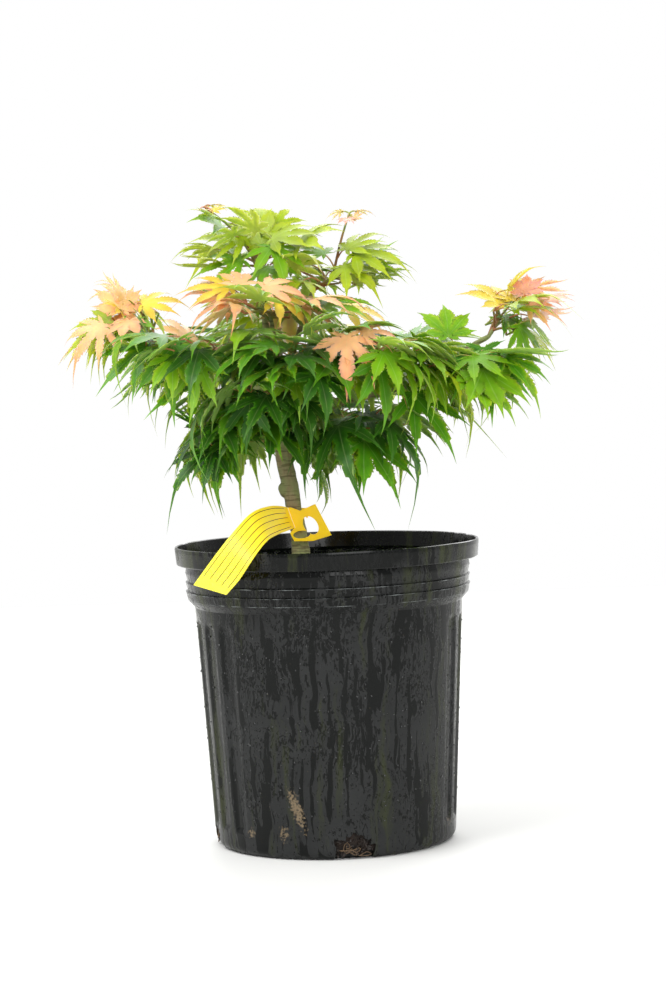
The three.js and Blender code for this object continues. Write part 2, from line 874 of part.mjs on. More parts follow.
// A mass's own space is above the lowest tips, and clear of limbs, the label and other masses.
function staysInSpace(piece) {
  if (piece.box.min[2] < LOWEST_TIP) return false;
  return !grown.some((other) => other.mass !== piece.mass && touches(piece, other));
}

const limbs = { trunk: trunkLimb() };
for (const [name, bough] of Object.entries(BOUGHS)) {
  limbs[name] = makeLimb(
    bough.path,
    radiiAlong(bough.radii),
    BOUGH_SIDES,
    BOUGH_STEPS,
    Object.values(limbs),
  );
}

// The stem of a mass, from the tip of its limb or out of its parent, to its heart.
function makeStem(mass) {
  const heart = vector(mass.heart);
  const limb = limbs[mass.limb];
  if (limb) {
    const start = limb.tip.clone().addScaledVector(limb.heading, GAP);
    const straight = start.clone().addScaledVector(limb.heading, STEM_STRAIGHT);
    const path = [start, straight, straight.clone().lerp(heart, 0.5), heart];
    const radiusAt = radiiAlong([limb.tipRadius, TWIG_RADIUS]);
    return { path, solid: limbSolid(path, radiusAt, BOUGH_SIDES, STEM_STEPS) };
  }
  const path = [vector(mass.from), vector(mass.from).lerp(heart, 0.5), heart];
  path[1].z += STEM_ARCH;
  const radiusAt = radiiAlong([STEM_RADIUS, TWIG_RADIUS]);
  const solid = limbSolid(path, radiusAt, BOUGH_SIDES, STEM_STEPS);
  return { path, solid: clearOf(Object.values(limbs), solid) };
}

// The shoots and leaves of a mass, before any is left out.
function growMass(mass, stem) {
  const random = seededRandom(mass.seed);
  const scatter = (width) => (random() - 0.5) * width;
  const heart = vector(mass.heart);
  const stemLine = new THREE.CatmullRomCurve3(stem.path);
  const shoots = [];
  for (let number = 0; number < mass.pairs; number++) {
    const share = number / (mass.pairs - 1);
    const turn = mass.faces + number * GOLDEN_ANGLE + scatter(TURN_SCATTER);
    const way = heading(turn, mix(...mass.rise, share) + scatter(TURN_SCATTER / 2));
    way.multiply(vector(mass.spread)).multiplyScalar(mix(NEAREST_SHOOT, 1, random()));
    const end = heart.clone().add(way);
    const leaves = [];
    for (const hand of [-1, 1]) {
      const length = mix(...mass.leaf, random());
      const outward = end.clone().sub(vector(CROWN_AXIS)).divideScalar(CROWN_REACH);
      outward.add(heading(turn + hand * PAIR_ANGLE, 0));
      const leafTurn = Math.atan2(outward.y, outward.x) / DEGREE + scatter(TURN_SCATTER);
      const hang = mix(...mass.hang, share) + scatter(HANG_SCATTER);
      const petiole = heading(leafTurn, PETIOLE_RISE + scatter(TURN_SCATTER));
      const base = end.clone().addScaledVector(petiole, PETIOLE_SHARE * length);
      const curl = LEAF_CURL * mix(...CURL_RANGE, random());
      leaves.push(placeLeaf(base, leafTurn, hang, scatter(ROLL_SCATTER), length, curl));
    }
    const from = stemLine.getPoint(mix(SHOOTS_START, 1, (number * GOLDEN_SHARE) % 1));
    shoots.push({ from, end, leaves });
  }
  for (const sprig of mass.sprigs ?? []) {
    const end = vector(sprig);
    const leaves = [];
    for (let number = 0; number < SPRIG_LEAVES; number++) {
      const turn = mass.faces + number * 180 + scatter(TURN_SCATTER);
      const petiole = heading(turn, PETIOLE_RISE);
      const base = end.clone().addScaledVector(petiole, PETIOLE_SHARE * SPRIG_LEAF);
      leaves.push(placeLeaf(base, turn, scatter(SPRIG_SCATTER), 0, SPRIG_LEAF, LEAF_CURL));
    }
    shoots.push({ from: heart.clone(), end, leaves });
  }
  return shoots;
}

// A mass as one solid. A twig that would run through a leaf is left out, and so is a leaf that would
// leave the mass's space or run into another leaf or twig of it, and a shoot that would leave the solid
// with a seam that isn't closed.
function massSolid(mass, stem) {
  let whole = stem.solid;
  const blades = [];
  const twigs = [];
  for (const { from, end, leaves } of growMass(mass, stem)) {
    const twig = boxed(limbSolid([from, end], () => TWIG_RADIUS, SHOOT_SIDES, 1));
    if (blades.some((other) => touches(twig, other))) continue;
    const fitting = [];
    const pair = [];
    for (const leaf of leaves) {
      const shoot = boxed(shootSolid(from, end, [...fitting, leaf], ROOMY_THICKNESS), mass);
      const blade = boxed(bladeSolid(leaf, ROOMY_THICKNESS));
      if (!staysInSpace(shoot)) continue;
      if ([...blades, ...twigs, ...pair].some((other) => touches(blade, other))) continue;
      fitting.push(leaf);
      pair.push(blade);
    }
    if (!fitting.length) continue;
    const shoot = shootSolid(from, end, fitting);
    const larger = joined(whole, shoot);
    if (!isSound(larger)) continue;
    whole = larger;
    blades.push(...pair);
    twigs.push(twig);
    grown.push(boxed(shoot, mass));
  }
  return whole;
}

// The strip of the label: a ribbon between its two edges.
function labelStrip() {
  const upper = new THREE.CatmullRomCurve3(LABEL_UPPER_EDGE.map(vector));
  const lower = new THREE.CatmullRomCurve3(LABEL_LOWER_EDGE.map(vector));
  const corners = [];
  const faces = [];
  for (let step = 0; step <= LABEL_STEPS; step++) {
    const share = step / LABEL_STEPS;
    const [top, bottom] = [upper.getPoint(share), lower.getPoint(share)];
    const tangent = upper.getTangent(share).add(lower.getTangent(share));
    const thick = tangent.cross(top.clone().sub(bottom)).normalize();
    thick.multiplyScalar(LABEL_THICKNESS / 2);
    corners.push(top.clone().add(thick), bottom.clone().add(thick));
    corners.push(bottom.clone().sub(thick), top.clone().sub(thick));
  }
  for (let step = 0; step < LABEL_STEPS; step++) {
    for (let side = 0; side < 4; side++) {
      const [a, b] = [step * 4 + side, step * 4 + ((side + 1) % 4)];
      faces.push([a, b, b + 4], [a, b + 4, a + 4]);
    }
  }
  const last = LABEL_STEPS * 4;
  faces.push([0, 2, 1], [0, 3, 2], [last, last + 1, last + 2], [last, last + 2, last + 3]);
  return solidFrom(facesGeometry(corners, faces));
}

// The whole label: its strip, the plate with the oval hole, and the loop round the trunk.
function labelSolid() {
  const head = new THREE.Shape(LABEL_HEAD.map(([x, z]) => new THREE.Vector2(x, z)));
  const hole = new THREE.Path();
  const lean = LABEL_HOLE_LEAN * DEGREE;
  hole.absellipse(...LABEL_HOLE, ...LABEL_HOLE_RADII, 0, 2 * Math.PI, false, lean);
  head.holes.push(hole);
  const upright = new THREE.Matrix4().makeRotationX(90 * DEGREE);
  upright.setPosition(0, LABEL_HEAD_FRONT + LABEL_THICKNESS, 0);
  const plate = plateSolid(head, LABEL_THICKNESS, upright);
  const [near, far] = [LABEL_LOOP_RADIUS, LABEL_LOOP_RADIUS + LABEL_THICKNESS];
  const wall = [
    [near, LABEL_LOOP_FOOT],
    [far, LABEL_LOOP_FOOT],
    [far, LABEL_LOOP_TOP],
    [near, LABEL_LOOP_TOP],
    [near, LABEL_LOOP_FOOT],
  ];
  const loop = turnedSolid(wall, LABEL_LOOP_SIDES).translate([...LABEL_LOOP_CENTRE, 0]);
  return joined(joined(labelStrip(), plate), loop);
}

addPiece("pot", potSolid(), POT_FINISH);
addPiece("soil", soilSolid(), SOIL_FINISH);
addPiece("trunk", limbs.trunk.solid, TRUNK_FINISH);
const label = labelSolid();
addPiece("plant_label", label, LABEL_FINISH);
grown.push(boxed(label), ...Object.values(limbs).map((limb) => boxed(limb.grown)));
for (const name of Object.keys(BOUGHS)) addPiece(name, limbs[name].solid, BOUGH_FINISH);
const stems = MASSES.map(makeStem);
MASSES.forEach((mass, n) => grown.push(boxed(stems[n].solid, mass)));
MASSES.forEach((mass, n) => {
  addPiece(mass.name, massSolid(mass, stems[n]), [mass.colour, LEAF_ROUGHNESS]);
});

export default tree;
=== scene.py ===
# %% [markdown]
# # A potted Japanese maple
# A young grafted maple in a black nursery pot, with a yellow loop label on its trunk. The solids of the
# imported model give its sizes: this script dresses them. Leaves, twigs and petioles grow again here by the
# rule that made the solids, with the same seeds, and are carried on to finer twigs and real leaf shapes.

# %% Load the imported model
import json
import math
from collections import namedtuple

import bmesh
import bpy
import numpy as np
from mathutils import Matrix, Vector, noise
from mathutils.bvhtree import BVHTree

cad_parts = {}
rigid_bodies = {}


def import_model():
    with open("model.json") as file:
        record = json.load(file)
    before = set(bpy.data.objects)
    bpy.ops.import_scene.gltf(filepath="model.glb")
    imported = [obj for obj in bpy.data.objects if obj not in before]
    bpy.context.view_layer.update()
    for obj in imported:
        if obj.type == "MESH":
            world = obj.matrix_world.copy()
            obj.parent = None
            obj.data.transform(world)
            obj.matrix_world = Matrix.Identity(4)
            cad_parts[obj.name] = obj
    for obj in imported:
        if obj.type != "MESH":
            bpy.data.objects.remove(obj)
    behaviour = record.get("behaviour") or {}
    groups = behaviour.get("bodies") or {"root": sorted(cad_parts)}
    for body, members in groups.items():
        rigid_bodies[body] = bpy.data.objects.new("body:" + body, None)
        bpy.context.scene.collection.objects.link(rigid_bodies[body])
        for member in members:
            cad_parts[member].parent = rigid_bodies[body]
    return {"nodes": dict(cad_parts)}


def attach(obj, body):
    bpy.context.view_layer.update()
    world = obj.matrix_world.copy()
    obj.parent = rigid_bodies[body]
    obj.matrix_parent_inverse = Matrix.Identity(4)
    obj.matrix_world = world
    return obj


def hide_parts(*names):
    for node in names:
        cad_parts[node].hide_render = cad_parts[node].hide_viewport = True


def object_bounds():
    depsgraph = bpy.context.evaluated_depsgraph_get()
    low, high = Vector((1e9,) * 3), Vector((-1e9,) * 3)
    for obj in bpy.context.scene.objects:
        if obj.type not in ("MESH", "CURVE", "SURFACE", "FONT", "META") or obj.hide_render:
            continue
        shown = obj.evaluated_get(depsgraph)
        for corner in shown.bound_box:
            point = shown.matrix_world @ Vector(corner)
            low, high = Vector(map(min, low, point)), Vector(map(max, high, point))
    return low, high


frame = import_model()
cad_low, cad_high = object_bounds()
MM = 0.001
print("CAD box, mm:", [round(v / MM, 1) for v in (*cad_low, *cad_high)])

# %% [markdown]
# ## The camera
# The photograph was taken from in front, a little above the crown's middle, with a long lens that was
# held slightly turned. The camera's axes are worked out from its pitch and roll, because three named
# angles are easier to correct than a matrix.

# %% Camera
CAMERA_PLACE = (4.2, -1387, 259)
CAMERA_PITCH = 3.1
CAMERA_ROLL = 1.9
CAMERA_LENS = 92.6
SENSOR = 36

pitch, roll = math.radians(CAMERA_PITCH), math.radians(CAMERA_ROLL)
forward = Vector((0, math.cos(pitch), -math.sin(pitch)))
level_up = Vector((0, math.sin(pitch), math.cos(pitch)))
right = Vector((math.cos(roll), 0, 0)) - level_up * math.sin(roll)
up = right.cross(forward)
camera = bpy.data.objects.new("camera", bpy.data.cameras.new("camera"))
camera.matrix_world = Matrix((right, up, -forward)).transposed().to_4x4()
camera.location = Vector(CAMERA_PLACE) * MM
camera.data.lens = CAMERA_LENS
camera.data.sensor_width = SENSOR
bpy.context.scene.collection.objects.link(camera)
bpy.context.scene.camera = camera
bpy.context.scene.view_settings.view_transform = "Standard"
print("camera looks along", [round(v, 3) for v in forward])


# %% [markdown]
# ## Small tools
# Colours are written as sRGB hex values and turned to linear ones in one place. One helper adds any node.
# A value that is the same all over a surface is set on the shader's own socket. Patterns read Object
# coordinates, so they stay on the piece wherever it stands.

# %% Colours and nodes
def linear(hex_colour):
    """An sRGB hex value as the linear red, green, blue and alpha that a socket takes."""
    shares = [int(hex_colour[n:n + 2], 16) / 255 for n in (1, 3, 5)]
    return [s / 12.92 if s <= 0.04045 else ((s + 0.055) / 1.055) ** 2.4 for s in shares] + [1.0]


def in_use(sockets, name=None):
    """The first socket in use, or the first of that name: some nodes have a set for each kind of value."""
    return next(socket for socket in sockets if socket.enabled and name in (None, socket.name))


def add_node(tree, kind, inputs=None, **settings):
    """Adds a node. An input takes a value, an output socket, or a node that feeds it its first output."""
    node = tree.nodes.new(kind)
    for name, value in settings.items():
        setattr(node, name, value)
    for name, value in (inputs or {}).items():
        socket = node.inputs[name] if isinstance(name, int) else in_use(node.inputs, name)
        if isinstance(value, bpy.types.Node):
            value = in_use(value.outputs)
        if isinstance(value, bpy.types.NodeSocket):
            tree.links.new(value, socket)
        else:
            socket.default_value = value
    return node


# %% Materials
def new_material(name):
    """A material, its empty node tree, and the Object coordinates that its patterns read."""
    material = bpy.data.materials.new(name)
    material.use_nodes = True
    tree = material.node_tree
    tree.nodes.clear()
    return material, tree, add_node(tree, "ShaderNodeTexCoord").outputs["Object"]


def end_material(tree, inputs):
    """Ends a material with its shader, which takes a constant or a node for each input."""
    shader = add_node(tree, "ShaderNodeBsdfPrincipled", inputs)
    add_node(tree, "ShaderNodeOutputMaterial", {"Surface": shader})


def mottled(name, dark, light, grain, rough, detail=3.0, spread=(0.0, 1.0)):
    """A finish that wanders between two colours, in patches of the grain's size in millimetres."""
    material, tree, place = new_material(name)
    patches = add_node(tree, "ShaderNodeTexNoise", {
        "Vector": place, "Scale": 1 / (grain * MM), "Detail": detail})
    share = add_node(tree, "ShaderNodeMapRange", {
        "Value": patches, "From Min": spread[0], "From Max": spread[1]})
    colour = add_node(tree, "ShaderNodeMix", {
        "Factor": share, "A": linear(dark), "B": linear(light)}, data_type="RGBA")
    end_material(tree, {"Base Color": colour, "Roughness": rough})
    return material


# %% [markdown]
# ## Meshes and Geometry Nodes
# A mesh is made from points in millimetres, with its place in the mesh, so its object stays at the
# origin. Geometry Nodes make what repeats or follows a path. Each tree has named inputs and ends in
# Realize Instances and Set Material. What a modifier makes becomes a plain mesh, so that a finished
# piece carries no modifier.

# %% Meshes
ROOT = "root"


def in_scene(name, data):
    """An object in the scene that holds a mesh or a lamp."""
    made = bpy.data.objects.new(name, data)
    bpy.context.scene.collection.objects.link(made)
    return made


def mesh_object(name, points, faces, edges=()):
    """A mesh from points in millimetres."""
    mesh = bpy.data.meshes.new(name)
    mesh.from_pydata([tuple(p) for p in np.asarray(points, float) * MM], list(edges), faces)
    mesh.validate()
    return in_scene(name, mesh)


def evaluated_mesh(source, name):
    """The mesh that an object's modifiers make, as a new plain object. The source is removed."""
    bpy.context.view_layer.update()
    graph = bpy.context.evaluated_depsgraph_get()
    mesh = bpy.data.meshes.new_from_object(source.evaluated_get(graph), depsgraph=graph)
    mesh.name = name
    bpy.data.objects.remove(source)
    return in_scene(name, mesh)


def face_outward(closed):
    """Turns all faces of a closed mesh outward."""
    turned = bmesh.new()
    turned.from_mesh(closed.data)
    bmesh.ops.recalc_face_normals(turned, faces=turned.faces)
    turned.to_mesh(closed.data)
    turned.free()


def triangle_count(piece):
    return sum(len(face.vertices) - 2 for face in piece.data.polygons)


# %% Finishing a piece
def finish_piece(piece, slot, *nodes):
    """Ties a finished piece to the model's body and hides the nodes that it stands for. Its slot is not
    used.
    """
    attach(piece, ROOT)
    if nodes:
        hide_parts(*nodes)
    print(piece.name, triangle_count(piece), "triangles")


# %% Geometry Nodes trees
def geometry_tree(name, kinds):
    """A tree with an input of each name and kind, and what its inputs give."""
    tree = bpy.data.node_groups.new(name, "GeometryNodeTree")
    for label, kind in {"Geometry": "Geometry", **kinds}.items():
        tree.interface.new_socket(label, in_out="INPUT", socket_type="NodeSocket" + kind)
    tree.interface.new_socket("Geometry", in_out="OUTPUT", socket_type="NodeSocketGeometry")
    return tree, add_node(tree, "NodeGroupInput").outputs


def end_tree(tree, geometry, material):
    """Ends a tree: instances are made real and take their material."""
    real = add_node(tree, "GeometryNodeRealizeInstances", {0: geometry})
    dressed = add_node(tree, "GeometryNodeSetMaterial", {0: real, "Material": material})
    add_node(tree, "NodeGroupOutput", {0: dressed})


def node_modifier(target, tree, values):
    """Runs a tree on an object, with its inputs set by the sockets' identifiers."""
    modifier = target.modifiers.new(tree.name, "NODES")
    modifier.node_group = tree
    for item in tree.interface.items_tree:
        if item.name in values:
            modifier[item.identifier] = values[item.name]


def kinds_of(name, meshes):
    """A collection of objects that a tree picks from. It stays out of the scene."""
    kinds = bpy.data.collections.new(name)
    for number, mesh in enumerate(meshes):
        kinds.objects.link(bpy.data.objects.new(f"{name}_{number}", mesh))
    return kinds


def discard(kinds):
    for kind in list(kinds.objects):
        bpy.data.objects.remove(kind)
    bpy.data.collections.remove(kinds)


# %% [markdown]
# ## The pot's plastic
# The pot is blow-moulded polyethylene, coloured black. Rain has run down it: where it is wet it is darker
# and mirrors the sky, and between the runs the plastic is grey and dull. Run-off is drawn as a noise that
# is long downwards and short across, because water follows gravity, and small blots of water cling in
# between. Splashed soil and a green film of algae sit low, at the sides and under the rim.

# %% Where the water runs
RIM_FOOT = 152
MEANDER_WIDTH = 28 * MM
MEANDER = 9 * MM
RUN_WIDTH = 4.6 * MM
RUN_LENGTH = 62 * MM
RUN_EDGE = (0.462, 0.435)
BLOT = 1.25 * MM
BLOT_HEIGHT = BLOT / 0.45
BLOT_FIELD = 38 * MM
BLOT_EDGE = (0.47, 0.51)

pot_plastic, tree, place = new_material("wet_black_polyethylene")
height = add_node(tree, "ShaderNodeSeparateXYZ", {0: place})
wander = add_node(tree, "ShaderNodeTexNoise", {"Vector": place, "Scale": 1 / MEANDER_WIDTH, "Detail": 3.0})
aside = add_node(tree, "ShaderNodeVectorMath", {
    0: wander.outputs["Color"], 1: (MEANDER, MEANDER, 3 * MEANDER), 2: place}, operation="MULTIPLY_ADD")
runs = add_node(tree, "ShaderNodeMapping", {
    "Vector": aside, "Scale": (1 / RUN_WIDTH, 1 / RUN_WIDTH, 1 / RUN_LENGTH)})
run_noise = add_node(tree, "ShaderNodeTexNoise", {
    "Vector": runs, "Scale": 1.0, "Detail": 2.0, "Roughness": 0.45})
run = add_node(tree, "ShaderNodeMapRange", {
    "Value": run_noise, "From Min": RUN_EDGE[0], "From Max": RUN_EDGE[1]})
print("run-off streaks are", RUN_WIDTH / MM, "mm wide and", RUN_LENGTH / MM, "mm long")

# %% Blots between the runs, in fields that are denser high up
blots = add_node(tree, "ShaderNodeMapping", {
    "Vector": aside, "Scale": (1 / BLOT, 1 / BLOT, 1 / BLOT_HEIGHT)})
blot_noise = add_node(tree, "ShaderNodeTexNoise", {
    "Vector": blots, "Scale": 1.0, "Detail": 2.0, "Distortion": 0.8})
field_noise = add_node(tree, "ShaderNodeTexNoise", {
    "Vector": place, "Scale": 1 / BLOT_FIELD, "Detail": 2.0})
high_up = add_node(tree, "ShaderNodeMapRange", {
    "Value": height.outputs["Z"], "From Min": 30 * MM, "From Max": 110 * MM,
    "To Min": -0.12, "To Max": 0.08})
field = add_node(tree, "ShaderNodeMath", {0: field_noise, 1: high_up}, operation="ADD")
cover = add_node(tree, "ShaderNodeMapRange", {
    "Value": field, "From Min": 0.38, "From Max": 0.6, "To Min": -0.14, "To Max": 0.02})
blot_sum = add_node(tree, "ShaderNodeMath", {0: blot_noise, 1: cover}, operation="ADD")
blot = add_node(tree, "ShaderNodeMapRange", {
    "Value": blot_sum, "From Min": BLOT_EDGE[0], "From Max": BLOT_EDGE[1]})
on_rim = add_node(tree, "ShaderNodeMapRange", {
    "Value": height.outputs["Z"], "From Min": (RIM_FOOT - 1) * MM, "From Max": RIM_FOOT * MM,
    "To Max": 0.3})
rim_sum = add_node(tree, "ShaderNodeMath", {0: field_noise, 1: on_rim}, operation="ADD")
rim_wet = add_node(tree, "ShaderNodeMapRange", {
    "Value": rim_sum, "From Min": 0.72, "From Max": 0.8, "To Max": 0.85})
wet = run
for more in (blot, rim_wet):
    wet = add_node(tree, "ShaderNodeMath", {0: wet, 1: more}, operation="MAXIMUM")
print("blots of water are about", BLOT / MM, "mm wide")

# %% Dull and wet plastic
# Dry, the moulded skin is a soft dark grey; water makes it near black, smooth and slightly raised.
dull_noise = add_node(tree, "ShaderNodeTexNoise", {"Vector": place, "Scale": 1 / (20 * MM), "Detail": 4.0})
dull = add_node(tree, "ShaderNodeMix", {
    "Factor": dull_noise, "A": linear("#1a1b1b"), "B": linear("#2e2f2f")}, data_type="RGBA")
coloured = add_node(tree, "ShaderNodeMix", {
    "Factor": wet, "A": dull, "B": linear("#080a09")}, data_type="RGBA")
gloss = add_node(tree, "ShaderNodeMapRange", {"Value": wet, "To Min": 0.4, "To Max": 0.13})
skin = add_node(tree, "ShaderNodeBump", {"Height": wet, "Strength": 0.5, "Distance": 0.3 * MM})
print("nodes in the plastic so far:", len(tree.nodes))

# %% A film of algae
ALGAE = linear("#33381c")
FILM_START = 35 * MM
FILM_END = 75 * MM

green_noise = add_node(tree, "ShaderNodeTexNoise", {
    "Vector": runs, "Scale": 0.5, "Detail": 5.0, "Roughness": 0.65})
sideways = add_node(tree, "ShaderNodeMath", {0: height.outputs["X"]}, operation="ABSOLUTE")
at_sides = add_node(tree, "ShaderNodeMapRange", {
    "Value": sideways, "From Min": FILM_START, "From Max": FILM_END, "To Min": -0.06, "To Max": 0.07})
green_sum = add_node(tree, "ShaderNodeMath", {0: green_noise, 1: at_sides}, operation="ADD")
green = add_node(tree, "ShaderNodeMapRange", {
    "Value": green_sum, "From Min": 0.52, "From Max": 0.68, "To Max": 0.75})
coloured = add_node(tree, "ShaderNodeMix", {
    "Factor": green, "A": coloured, "B": ALGAE}, data_type="RGBA")
print("algae thicken from", FILM_START / MM, "to", FILM_END / MM, "mm from the middle")

# %% Splashed soil, and one painted highlight
SPLASH_AND_HIGHLIGHT = linear("#84735a")
SPLASH_DEPTH = 12
SPLASHES_AND_HIGHLIGHT = [
    # place, reach across and up, lean, how dense
    ((-20, -64, 27), (4.5, 19), -0.32, 0.4),
    # This patch is not soil: it is a painted highlight in the soil's colour, where the wet plastic shows a
    # bright reflection.
    ((-44, -47, 13), (4, 5), 0.0, 0.48),
    ((-27, -60, 14), (5, 9), 0.1, 0.5),
    ((30, 60, 24), (4, 12), -0.2, 0.52),
    ((60, -24, 12), (4, 6), 0.0, 0.56),
]

speckle = add_node(tree, "ShaderNodeTexNoise", {"Vector": place, "Scale": 1 / (1.2 * MM), "Detail": 4.0})
for centre, (across, upward), lean, dense in SPLASHES_AND_HIGHLIGHT:
    spot = add_node(tree, "ShaderNodeMapping", {
        "Vector": place, "Location": [v * MM for v in centre], "Rotation": (0.0, lean, 0.0),
        "Scale": (across * MM, SPLASH_DEPTH * MM, upward * MM)}, vector_type="TEXTURE")
    away = add_node(tree, "ShaderNodeVectorMath", {0: spot}, operation="LENGTH")
    near = add_node(tree, "ShaderNodeMapRange", {
        "Value": away, "From Min": 0.3, "From Max": 1.0, "To Min": 0.0, "To Max": -0.4})
    thick = add_node(tree, "ShaderNodeMath", {0: speckle, 1: near}, operation="ADD")
    spread = add_node(tree, "ShaderNodeMapRange", {
        "Value": thick, "From Min": dense - 0.08, "From Max": dense + 0.12, "To Max": 0.7})
    coloured = add_node(tree, "ShaderNodeMix", {
        "Factor": spread, "A": coloured, "B": SPLASH_AND_HIGHLIGHT}, data_type="RGBA")
print(len(SPLASHES_AND_HIGHLIGHT), "splashes of soil")

# %% Painted highlights along the rings' edges
# The pale lines are painted highlights: the sky's glint on the water along each ring's ledge, broken up by
# noise.
RING_HIGHLIGHT = linear("#9aa0a0")
RING_HIGHLIGHT_HALF = 0.45 * MM
LEDGES = (RIM_FOOT - 9.7, RIM_FOOT - 14.4, RIM_FOOT - 18.7)

ring_highlight_noise = add_node(tree, "ShaderNodeTexNoise", {"Vector": place, "Scale": 1 / (7 * MM), "Detail": 3.0})
for ledge in LEDGES:
    off = add_node(tree, "ShaderNodeMath", {0: height.outputs["Z"], 1: ledge * MM}, operation="SUBTRACT")
    off = add_node(tree, "ShaderNodeMath", {0: off}, operation="ABSOLUTE")
    line = add_node(tree, "ShaderNodeMapRange", {
        "Value": off, "From Min": 0.0, "From Max": RING_HIGHLIGHT_HALF, "To Min": 0.1, "To Max": -0.4})
    line = add_node(tree, "ShaderNodeMath", {0: line, 1: ring_highlight_noise}, operation="ADD")
    line = add_node(tree, "ShaderNodeMapRange", {
        "Value": line, "From Min": 0.48, "From Max": 0.62, "To Max": 0.5})
    coloured = add_node(tree, "ShaderNodeMix", {
        "Factor": line, "A": coloured, "B": RING_HIGHLIGHT}, data_type="RGBA")
end_material(tree, {"Base Color": coloured, "Roughness": gloss, "Normal": skin,
                    "IOR": 1.5, "Specular IOR Level": 0.17})
print(len(tree.nodes), "nodes make the pot's plastic")

# %% [markdown]
# ## The pot
# A nursery pot is a thin turned shell: a plain rim, three rings under it, a shoulder and a tapering
# body, smooth in front and behind and fluted at its sides. It could be a lathe profile with a modifier,
# but the flutes, the uneven rim and the drains all follow the same angle and height, so the shell is made
# as one grid whose radius is a function of both.

# %% The pot's sizes
POT_HEIGHT = 162
RIM_RADIUS = 82.5
POT_WALL = 1.6
FLOOR = 2
FLAT_FLOOR = 30
RING_RADIUS = 76.8
RING_DEPTH = 1
RING_HEIGHT = 4.9
RING_COUNT = 3
SHOULDER_TOP = 133.3
SHOULDER_FOOT = 129
BODY_TOP_RADIUS = 72.3
BODY_FOOT_RADIUS = 65.2
FOOT_ROUNDING = 5
FOOT_STEPS = 6
ROW_HEIGHT = 1.8
POT_SEGMENTS = 360
print("pot, mm:", 2 * RIM_RADIUS, "across and", POT_HEIGHT, "tall")


# %% The shell's profile
def pot_outside():
    """[radius, height] up the outside of the shell. The small steps round its edges off."""
    profile = [(0, 0), (FLAT_FLOOR, 0)]
    for step in range(FOOT_STEPS + 1):
        angle = step / FOOT_STEPS * math.pi / 2
        profile.append((BODY_FOOT_RADIUS - FOOT_ROUNDING * (1 - math.sin(angle)),
                        FOOT_ROUNDING * (1 - math.cos(angle))))
    profile.append((BODY_TOP_RADIUS, SHOULDER_FOOT))
    for ring in range(RING_COUNT):
        foot = SHOULDER_TOP + ring * RING_HEIGHT
        profile.append((RING_RADIUS - RING_DEPTH, foot))
        profile.append((RING_RADIUS - 0.2, foot + RING_HEIGHT - 1.0))
        profile.append((RING_RADIUS, foot + RING_HEIGHT - 0.5))
    profile += [(RING_RADIUS - 0.6, RIM_FOOT - 0.4), (RIM_RADIUS - 1.6, RIM_FOOT)]
    profile += [(RIM_RADIUS - 1.1, RIM_FOOT + 0.5), (RIM_RADIUS - 0.1, POT_HEIGHT - 1.2)]
    profile += [(RIM_RADIUS - 0.3, POT_HEIGHT - 0.3), (RIM_RADIUS - 0.9, POT_HEIGHT)]
    return profile


def pot_inside(clearance=0.0):
    """[radius, height] down the inside of the shell."""
    inset = POT_WALL + clearance
    return [(RIM_RADIUS - inset, POT_HEIGHT - 0.4),
            (RIM_RADIUS - 1.3 - inset, RIM_FOOT + 1.2),
            (RING_RADIUS - RING_DEPTH - inset, RIM_FOOT - 1.2),
            (RING_RADIUS - RING_DEPTH - inset, SHOULDER_TOP),
            (BODY_TOP_RADIUS - inset, SHOULDER_FOOT - POT_WALL),
            (BODY_FOOT_RADIUS - inset, FOOT_ROUNDING + clearance),
            (BODY_FOOT_RADIUS - FOOT_ROUNDING, FLOOR + clearance),
            (0, FLOOR + clearance)]


def finer(profile, spacing):
    """The same profile with points no further apart than the spacing."""
    points = [profile[0]]
    for start, end in zip(profile, profile[1:]):
        steps = max(1, round(math.dist(start, end) / spacing))
        for step in range(1, steps + 1):
            points.append(tuple(np.add(start, np.subtract(end, start) * step / steps)))
    return points


print("outside profile:", len(finer(pot_outside(), ROW_HEIGHT)), "rows")

# %% Flutes and the uneven rim
POT_TURN = 8
FLUTE_PITCH = 13
FLUTES_A_SIDE = 6
FLUTE_WIDTH = 10
FLUTE_DEPTH = 1.3
FLUTE_FOOT = 13
FLUTE_TOP = 122
FLUTE_EDGE = 1.2
RIM_WAVE = 0.35
RIM_WAVES_UP = 2.3
RIM_WAVES_IN = 3.1


def flute_depth(angle, height):
    """How far the wall is pressed in at an angle from the front and a height."""
    deepest = 0.0
    for side in (-90, 90):
        for number in range(FLUTES_A_SIDE):
            centre = POT_TURN + side + (number - (FLUTES_A_SIDE - 1) / 2) * FLUTE_PITCH
            away = (angle - centre + 180) % 360 - 180
            across = math.radians(away) * BODY_TOP_RADIUS
            if abs(across) > FLUTE_WIDTH / 2:
                continue
            arch = FLUTE_TOP - FLUTE_WIDTH / 2
            if height > arch:
                inside = FLUTE_WIDTH / 2 - math.hypot(across, height - arch)
            else:
                inside = min(FLUTE_WIDTH / 2 - abs(across), height - FLUTE_FOOT)
            share = np.clip(inside / FLUTE_EDGE, 0, 1)
            deepest = max(deepest, FLUTE_DEPTH * float(share * share * (3 - 2 * share)))
    return deepest


def shell_point(radius, height, angle, outer):
    """A point of the shell at an angle from the front, with the flutes on its outer side."""
    turn = math.radians(angle)
    out = Vector((math.sin(turn), -math.cos(turn), 0))
    if outer and FLUTE_FOOT < height < FLUTE_TOP:
        radius -= flute_depth(angle, height)
    if height > RIM_FOOT and radius > BODY_TOP_RADIUS:
        share = (height - RIM_FOOT) / (POT_HEIGHT - RIM_FOOT)
        height -= share * RIM_WAVE * (1 + noise.noise(out * RIM_WAVES_UP))
        radius -= share * RIM_WAVE * (1 + noise.noise(out * RIM_WAVES_IN + Vector((5, 0, 0))))
    return (out.x * radius, out.y * radius, height)


print("a flute is", flute_depth(POT_TURN + 90 + FLUTE_PITCH / 2, FLUTE_TOP / 2), "mm deep")

